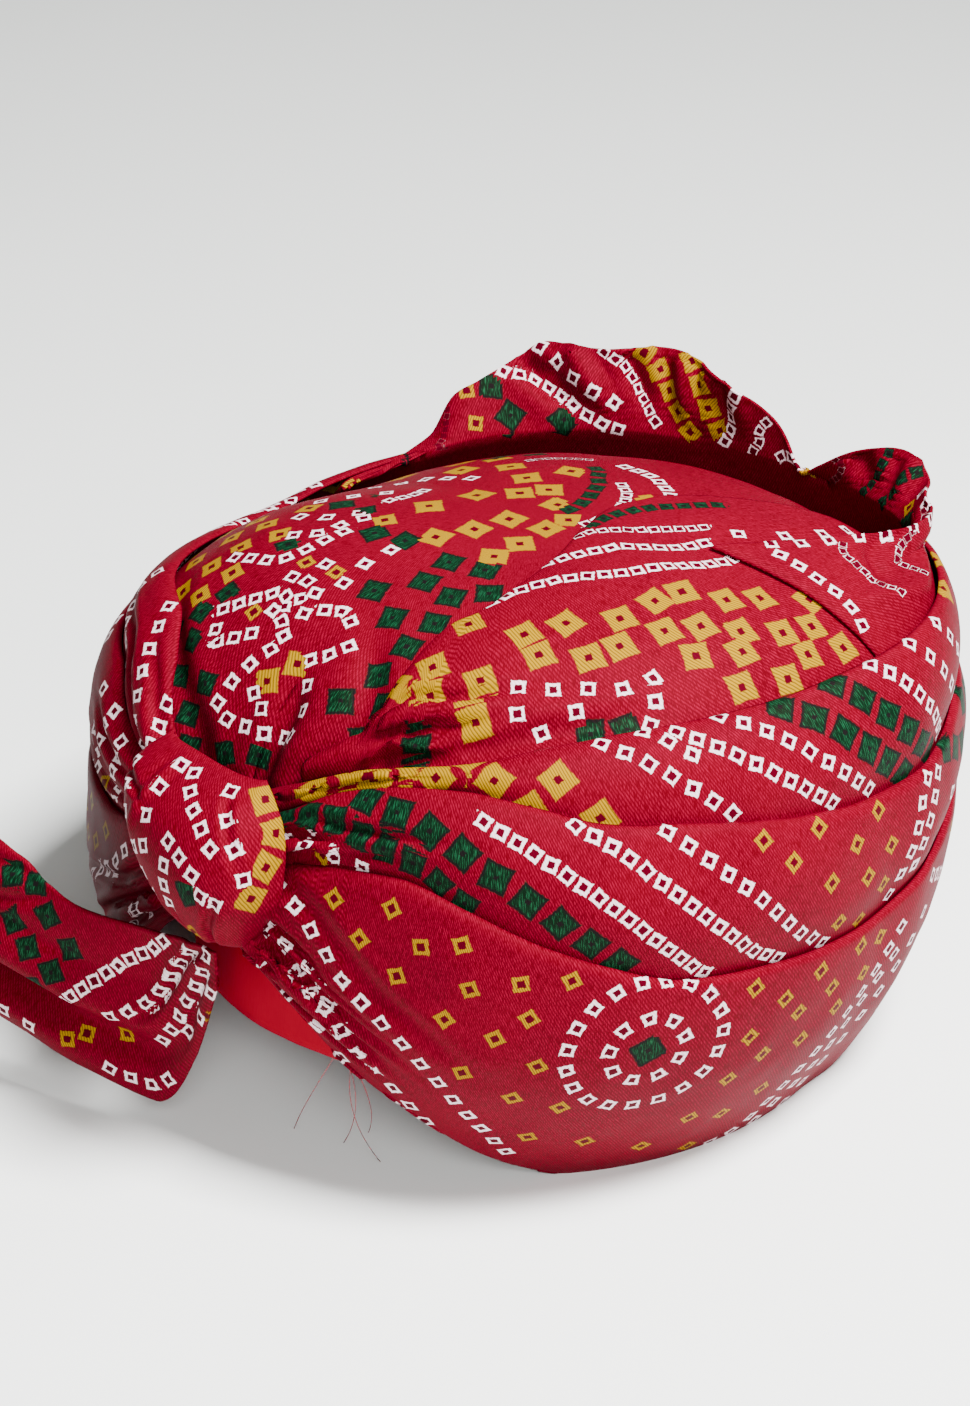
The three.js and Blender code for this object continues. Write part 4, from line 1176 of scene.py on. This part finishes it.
def emboss(desk, shader, height, strength, depth):
    """Raises the cloth's weave, by a depth in metres."""
    bump = desk.node("ShaderNodeBump", {"Height": height, "Strength": strength, "Distance": depth})
    desk.join(bump.outputs[0], shader.inputs["Normal"])


def soften(shader):
    """Cloth hardly mirrors anything, and what it does takes on the dye's colour."""
    shader.inputs["IOR"].default_value = 1.25
    shader.inputs["Specular IOR Level"].default_value = 0.1
    shader.inputs["Specular Tint"].default_value = (1, 0.25, 0.4, 1)


def printed_cloth(colours):
    """Crimson twill with its tied-and-dyed squares, and a painted highlight on the crests of its ribs."""
    if "printed_cloth" in bpy.data.materials:
        return bpy.data.materials["printed_cloth"]
    rim_colour = (0.004, 0.004, 0.004)
    material, desk, shader = new_material("printed_cloth")
    motif = desk.node("ShaderNodeGroup", node_tree=motif_group()).outputs
    twill = desk.node("ShaderNodeGroup", node_tree=twill_group()).outputs
    ground = desk.blend(desk.ramp(twill["Cloud"], 0.3, 0.75), tinted(colours.cloth, 0.8), colours.cloth)
    # Painted highlight: where the ribs and threads run bright, the ground takes the sheen colour, standing
    # in for the satin's shine
    lit = desk.times(twill["Rib"], desk.ramp(twill["Thread"], 0.35, 0.65), 0.75)
    ground = desk.blend(lit, ground, colours.sheen)
    # The printed squares are darker in the valleys between the ribs: the white takes a little of the sheen
    # colour there, and the yellow darkens
    ribs = desk.times(desk.ramp(twill["Rib"], 0.6, 0.15), 0.8)
    white = desk.blend(desk.times(ribs, 0.3), colours.white, colours.sheen)
    yellow = desk.blend(ribs, colours.yellow, tinted(colours.yellow, 0.3))
    green = desk.blend(desk.ramp(twill["Thread"], 0.5, 0.7), tinted(colours.green, 0.4),
                       tinted(colours.green, 2.6))
    green = desk.blend(motif["Rim"], green, rim_colour)
    colour = desk.blend(motif["White"], ground, white)
    colour = desk.blend(motif["Yellow"], colour, yellow)
    colour = desk.blend(motif["Green"], colour, green)
    colour = desk.blend(motif["Hole"], colour, colours.shade)
    desk.join(colour, shader.inputs["Base Color"])
    desk.join(desk.math("MULTIPLY_ADD", twill["Thread"], 0.25, 0.42), shader.inputs["Roughness"])
    weave = desk.math("MULTIPLY_ADD", twill["Rib"], 0.6, desk.times(twill["Thread"], 0.6))
    emboss(desk, shader, weave, 0.25, 0.25 * MM)
    soften(shader)
    return material


def lining_cloth(colours):
    """Plain bright red cotton."""
    material, desk, shader = new_material("lining_cloth")
    twill = desk.node("ShaderNodeGroup", {"Rib": 0.5, "Slant": 0.0}, node_tree=twill_group()).outputs
    ground = desk.blend(desk.ramp(twill["Cloud"], 0.3, 0.75), tinted(colours.lining, 0.75), colours.lining)
    colour = desk.blend(desk.times(twill["Thread"], 0.3), ground, tinted(colours.lining, 0.6))
    desk.join(colour, shader.inputs["Base Color"])
    desk.join(desk.math("MULTIPLY_ADD", twill["Thread"], 0.2, 0.6), shader.inputs["Roughness"])
    emboss(desk, shader, twill["Rib"], 0.2, 0.2 * MM)
    soften(shader)
    return material


def thread_cloth(colours):
    """One frayed thread of the cloth."""
    material, desk, shader = new_material("thread_cloth")
    worn = desk.noise(desk.place(), 900, 2.0)
    desk.join(desk.blend(desk.ramp(worn, 0.35, 0.65), colours.shade, colours.lining),
              shader.inputs["Base Color"])
    desk.join(desk.math("MULTIPLY_ADD", worn, 0.3, 0.5), shader.inputs["Roughness"])
    return material


def floor_material(colours):
    """A plain pale table top, a little uneven."""
    material, desk, shader = new_material("table_top")
    worn = desk.noise(desk.place(), 6, 2.0)
    desk.join(desk.blend(worn, colours.floor, tinted(colours.floor, 0.96)), shader.inputs["Base Color"])
    shader.inputs["Roughness"].default_value = 0.6
    return material


# Loose threads at the hem: the angle where each leaves it, and where it ends on the table
THREADS = ((22.4, (-15, 99)), (23.6, (-29, 93)), (24.2, (-42, 91)), (24.6, (-30, 85)))
THREAD_RADIUS, THREAD_SWAY, THREAD_BOW = 0.11, 2.5, 1.4


def add_thread(number, angle, end):
    """A thin tube from just inside the hem down to the table. Each sways the other way from the last."""
    start = on_body(angle, along(HEM, "level", angle) + 0.02, standoff(angle, 2) - 0.5)
    bpy.ops.object.select_all(action="DESELECT")
    bpy.ops.curve.primitive_nurbs_path_add()
    thread = bpy.context.object
    points = thread.data.splines[0].points
    for i, point in enumerate(points):
        t = i / (len(points) - 1)
        sway = THREAD_SWAY * math.sin(math.pi * t) * (-1) ** number
        x = start[0] + (end[0] - start[0]) * t ** THREAD_BOW + sway
        y = start[1] + (end[1] - start[1]) * t ** THREAD_BOW + sway
        z = start[2] * (1 - t) + 2 * THREAD_RADIUS
        point.co = (x * MM + HEAD_X, y * MM + HEAD_Y, z * MM, 1)
    thread.data.bevel_depth = THREAD_RADIUS * MM
    thread.data.bevel_resolution = 1
    thread.data.use_fill_caps = True
    bpy.ops.object.convert(target="MESH")
    return thread


class TURBAN_OT_lining(bpy.types.Operator):
    """Adds the plain inner cap"""

    bl_idname = "turban.lining"
    bl_label = "Lining cap"

    def execute(self, context):
        build_piece("lining_cap")
        return {"FINISHED"}


class TURBAN_OT_crown(bpy.types.Operator):
    """Adds the cloth over the crown and the turn that crosses it"""

    bl_idname = "turban.crown"
    bl_label = "Crown"

    def execute(self, context):
        build_piece("crown_cover")
        build_piece("crown_wrap")
        return {"FINISHED"}


class TURBAN_OT_side_wraps(bpy.types.Operator):
    """Adds the three turns round the head"""

    bl_idname = "turban.side_wraps"
    bl_label = "Side wraps"

    def execute(self, context):
        for name in ("side_wrap_upper", "side_wrap_middle", "side_wrap_lower"):
            build_piece(name)
        return {"FINISHED"}


class TURBAN_OT_crest(bpy.types.Operator):
    """Adds the ruffled crest over the forehead"""

    bl_idname = "turban.crest"
    bl_label = "Crest"

    def execute(self, context):
        build_piece("crest_fan")
        return {"FINISHED"}


class TURBAN_OT_knot(bpy.types.Operator):
    """Adds the loop over the gathered turns"""

    bl_idname = "turban.knot"
    bl_label = "Knot"

    def execute(self, context):
        build_piece("knot_loop")
        return {"FINISHED"}


class TURBAN_OT_tail(bpy.types.Operator):
    """Adds the free end, which hangs out of the knot"""

    bl_idname = "turban.tail"
    bl_label = "Tail"

    def execute(self, context):
        build_piece("tail")
        return {"FINISHED"}


class TURBAN_OT_threads(bpy.types.Operator):
    """Adds the loose threads at the hem"""

    bl_idname = "turban.threads"
    bl_label = "Loose threads"

    def execute(self, context):
        threads = [add_thread(number, angle, end) for number, (angle, end) in enumerate(THREADS)]
        bpy.ops.object.select_all(action="DESELECT")
        for thread in threads:
            thread.select_set(True)
        context.view_layer.objects.active = threads[0]
        bpy.ops.object.join()
        joined = context.object
        joined.name = joined.data.name = "loose_threads"
        joined.data.materials.clear()
        joined.data.materials.append(thread_cloth(context.scene.turban_colours))
        bpy.ops.object.transform_apply(location=True, rotation=True, scale=True)
        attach(joined, "root")
        return {"FINISHED"}


# The photograph's viewpoint, in the row frame, in metres
CAMERA_AZIMUTH, CAMERA_ELEVATION, CAMERA_DISTANCE = 228, 30, 1.0
CAMERA_TARGET = Vector((0.035592, -0.033674, 0.067734))
CAMERA_LENS, CAMERA_SENSOR = 87.08, 36
FLOOR_SIZE = 6
# Each light's name, place, size across and power in watts. They face a point inside the turban.
LIGHTS = (("key", (-0.5, -0.15, 1.15), 0.35, 72), ("fill", (-0.9, 0.65, 0.75), 0.7, 18))
LIT_POINT = Vector((0, 0, 0.07))
SKY_COLOUR, SKY_STRENGTH = (0.82, 0.9, 0.84, 1), 0.2


def add_camera():
    azimuth, elevation = math.radians(CAMERA_AZIMUTH), math.radians(CAMERA_ELEVATION)
    back = Vector((math.sin(azimuth) * math.cos(elevation), -math.cos(azimuth) * math.cos(elevation),
                   math.sin(elevation)))
    bpy.ops.object.select_all(action="DESELECT")
    bpy.ops.object.camera_add(location=CAMERA_TARGET + back * CAMERA_DISTANCE)
    camera = bpy.context.object
    camera.rotation_euler = (-back).to_track_quat("-Z", "Y").to_euler()
    camera.data.lens = CAMERA_LENS
    camera.data.sensor_width = CAMERA_SENSOR
    bpy.context.scene.camera = camera


def add_light(name, place, size, power):
    """A square soft light that faces the turban."""
    bpy.ops.object.select_all(action="DESELECT")
    bpy.ops.object.light_add(type="AREA", location=place)
    light = bpy.context.object
    light.name = name
    light.data.size = size
    light.data.energy = power
    light.rotation_euler = (Vector(place) - LIT_POINT).to_track_quat("Z", "Y").to_euler()


class TURBAN_OT_stage(bpy.types.Operator):
    """Adds the table top, the soft lights and the camera"""

    bl_idname = "turban.stage"
    bl_label = "Stage"

    def execute(self, context):
        colours = context.scene.turban_colours
        bpy.ops.object.select_all(action="DESELECT")
        bpy.ops.mesh.primitive_plane_add(size=FLOOR_SIZE)
        floor = context.object
        floor.name = "floor"
        floor.data.materials.append(floor_material(colours))
        for light in LIGHTS:
            add_light(*light)
        world = context.scene.world or bpy.data.worlds.new("studio")
        context.scene.world = world
        world.use_nodes = True
        sky = world.node_tree.nodes["Background"].inputs
        sky["Color"].default_value = SKY_COLOUR
        sky["Strength"].default_value = SKY_STRENGTH
        add_camera()
        return {"FINISHED"}


class TURBAN_PT_panel(bpy.types.Panel):
    """Sizes, colours and steps of the turban"""

    bl_idname = "TURBAN_PT_panel"
    bl_label = "Tied turban"
    bl_space_type = "VIEW_3D"
    bl_region_type = "UI"
    bl_category = "Turban"

    def draw(self, context):
        for group in (context.scene.turban_sizes, context.scene.turban_colours):
            for key in group.__annotations__:
                self.layout.prop(group, key)
        for operator in OPERATORS:
            self.layout.operator(operator.bl_idname)


OPERATORS = (TURBAN_OT_lining, TURBAN_OT_crown, TURBAN_OT_side_wraps, TURBAN_OT_crest, TURBAN_OT_knot,
             TURBAN_OT_tail, TURBAN_OT_threads, TURBAN_OT_stage)
CLASSES = (TurbanSizes, TurbanColours, *OPERATORS, TURBAN_PT_panel)


def register():
    for one in CLASSES:
        bpy.utils.register_class(one)
    bpy.types.Scene.turban_sizes = PointerProperty(type=TurbanSizes)
    bpy.types.Scene.turban_colours = PointerProperty(type=TurbanColours)


def unregister():
    del bpy.types.Scene.turban_colours
    del bpy.types.Scene.turban_sizes
    for one in reversed(CLASSES):
        bpy.utils.unregister_class(one)


def main():
    register()
    bpy.ops.turban.lining()
    bpy.ops.turban.crown()
    bpy.ops.turban.side_wraps()
    bpy.ops.turban.crest()
    bpy.ops.turban.knot()
    bpy.ops.turban.tail()
    bpy.ops.turban.threads()
    bpy.ops.turban.stage()


if __name__ == "__main__":
    main()
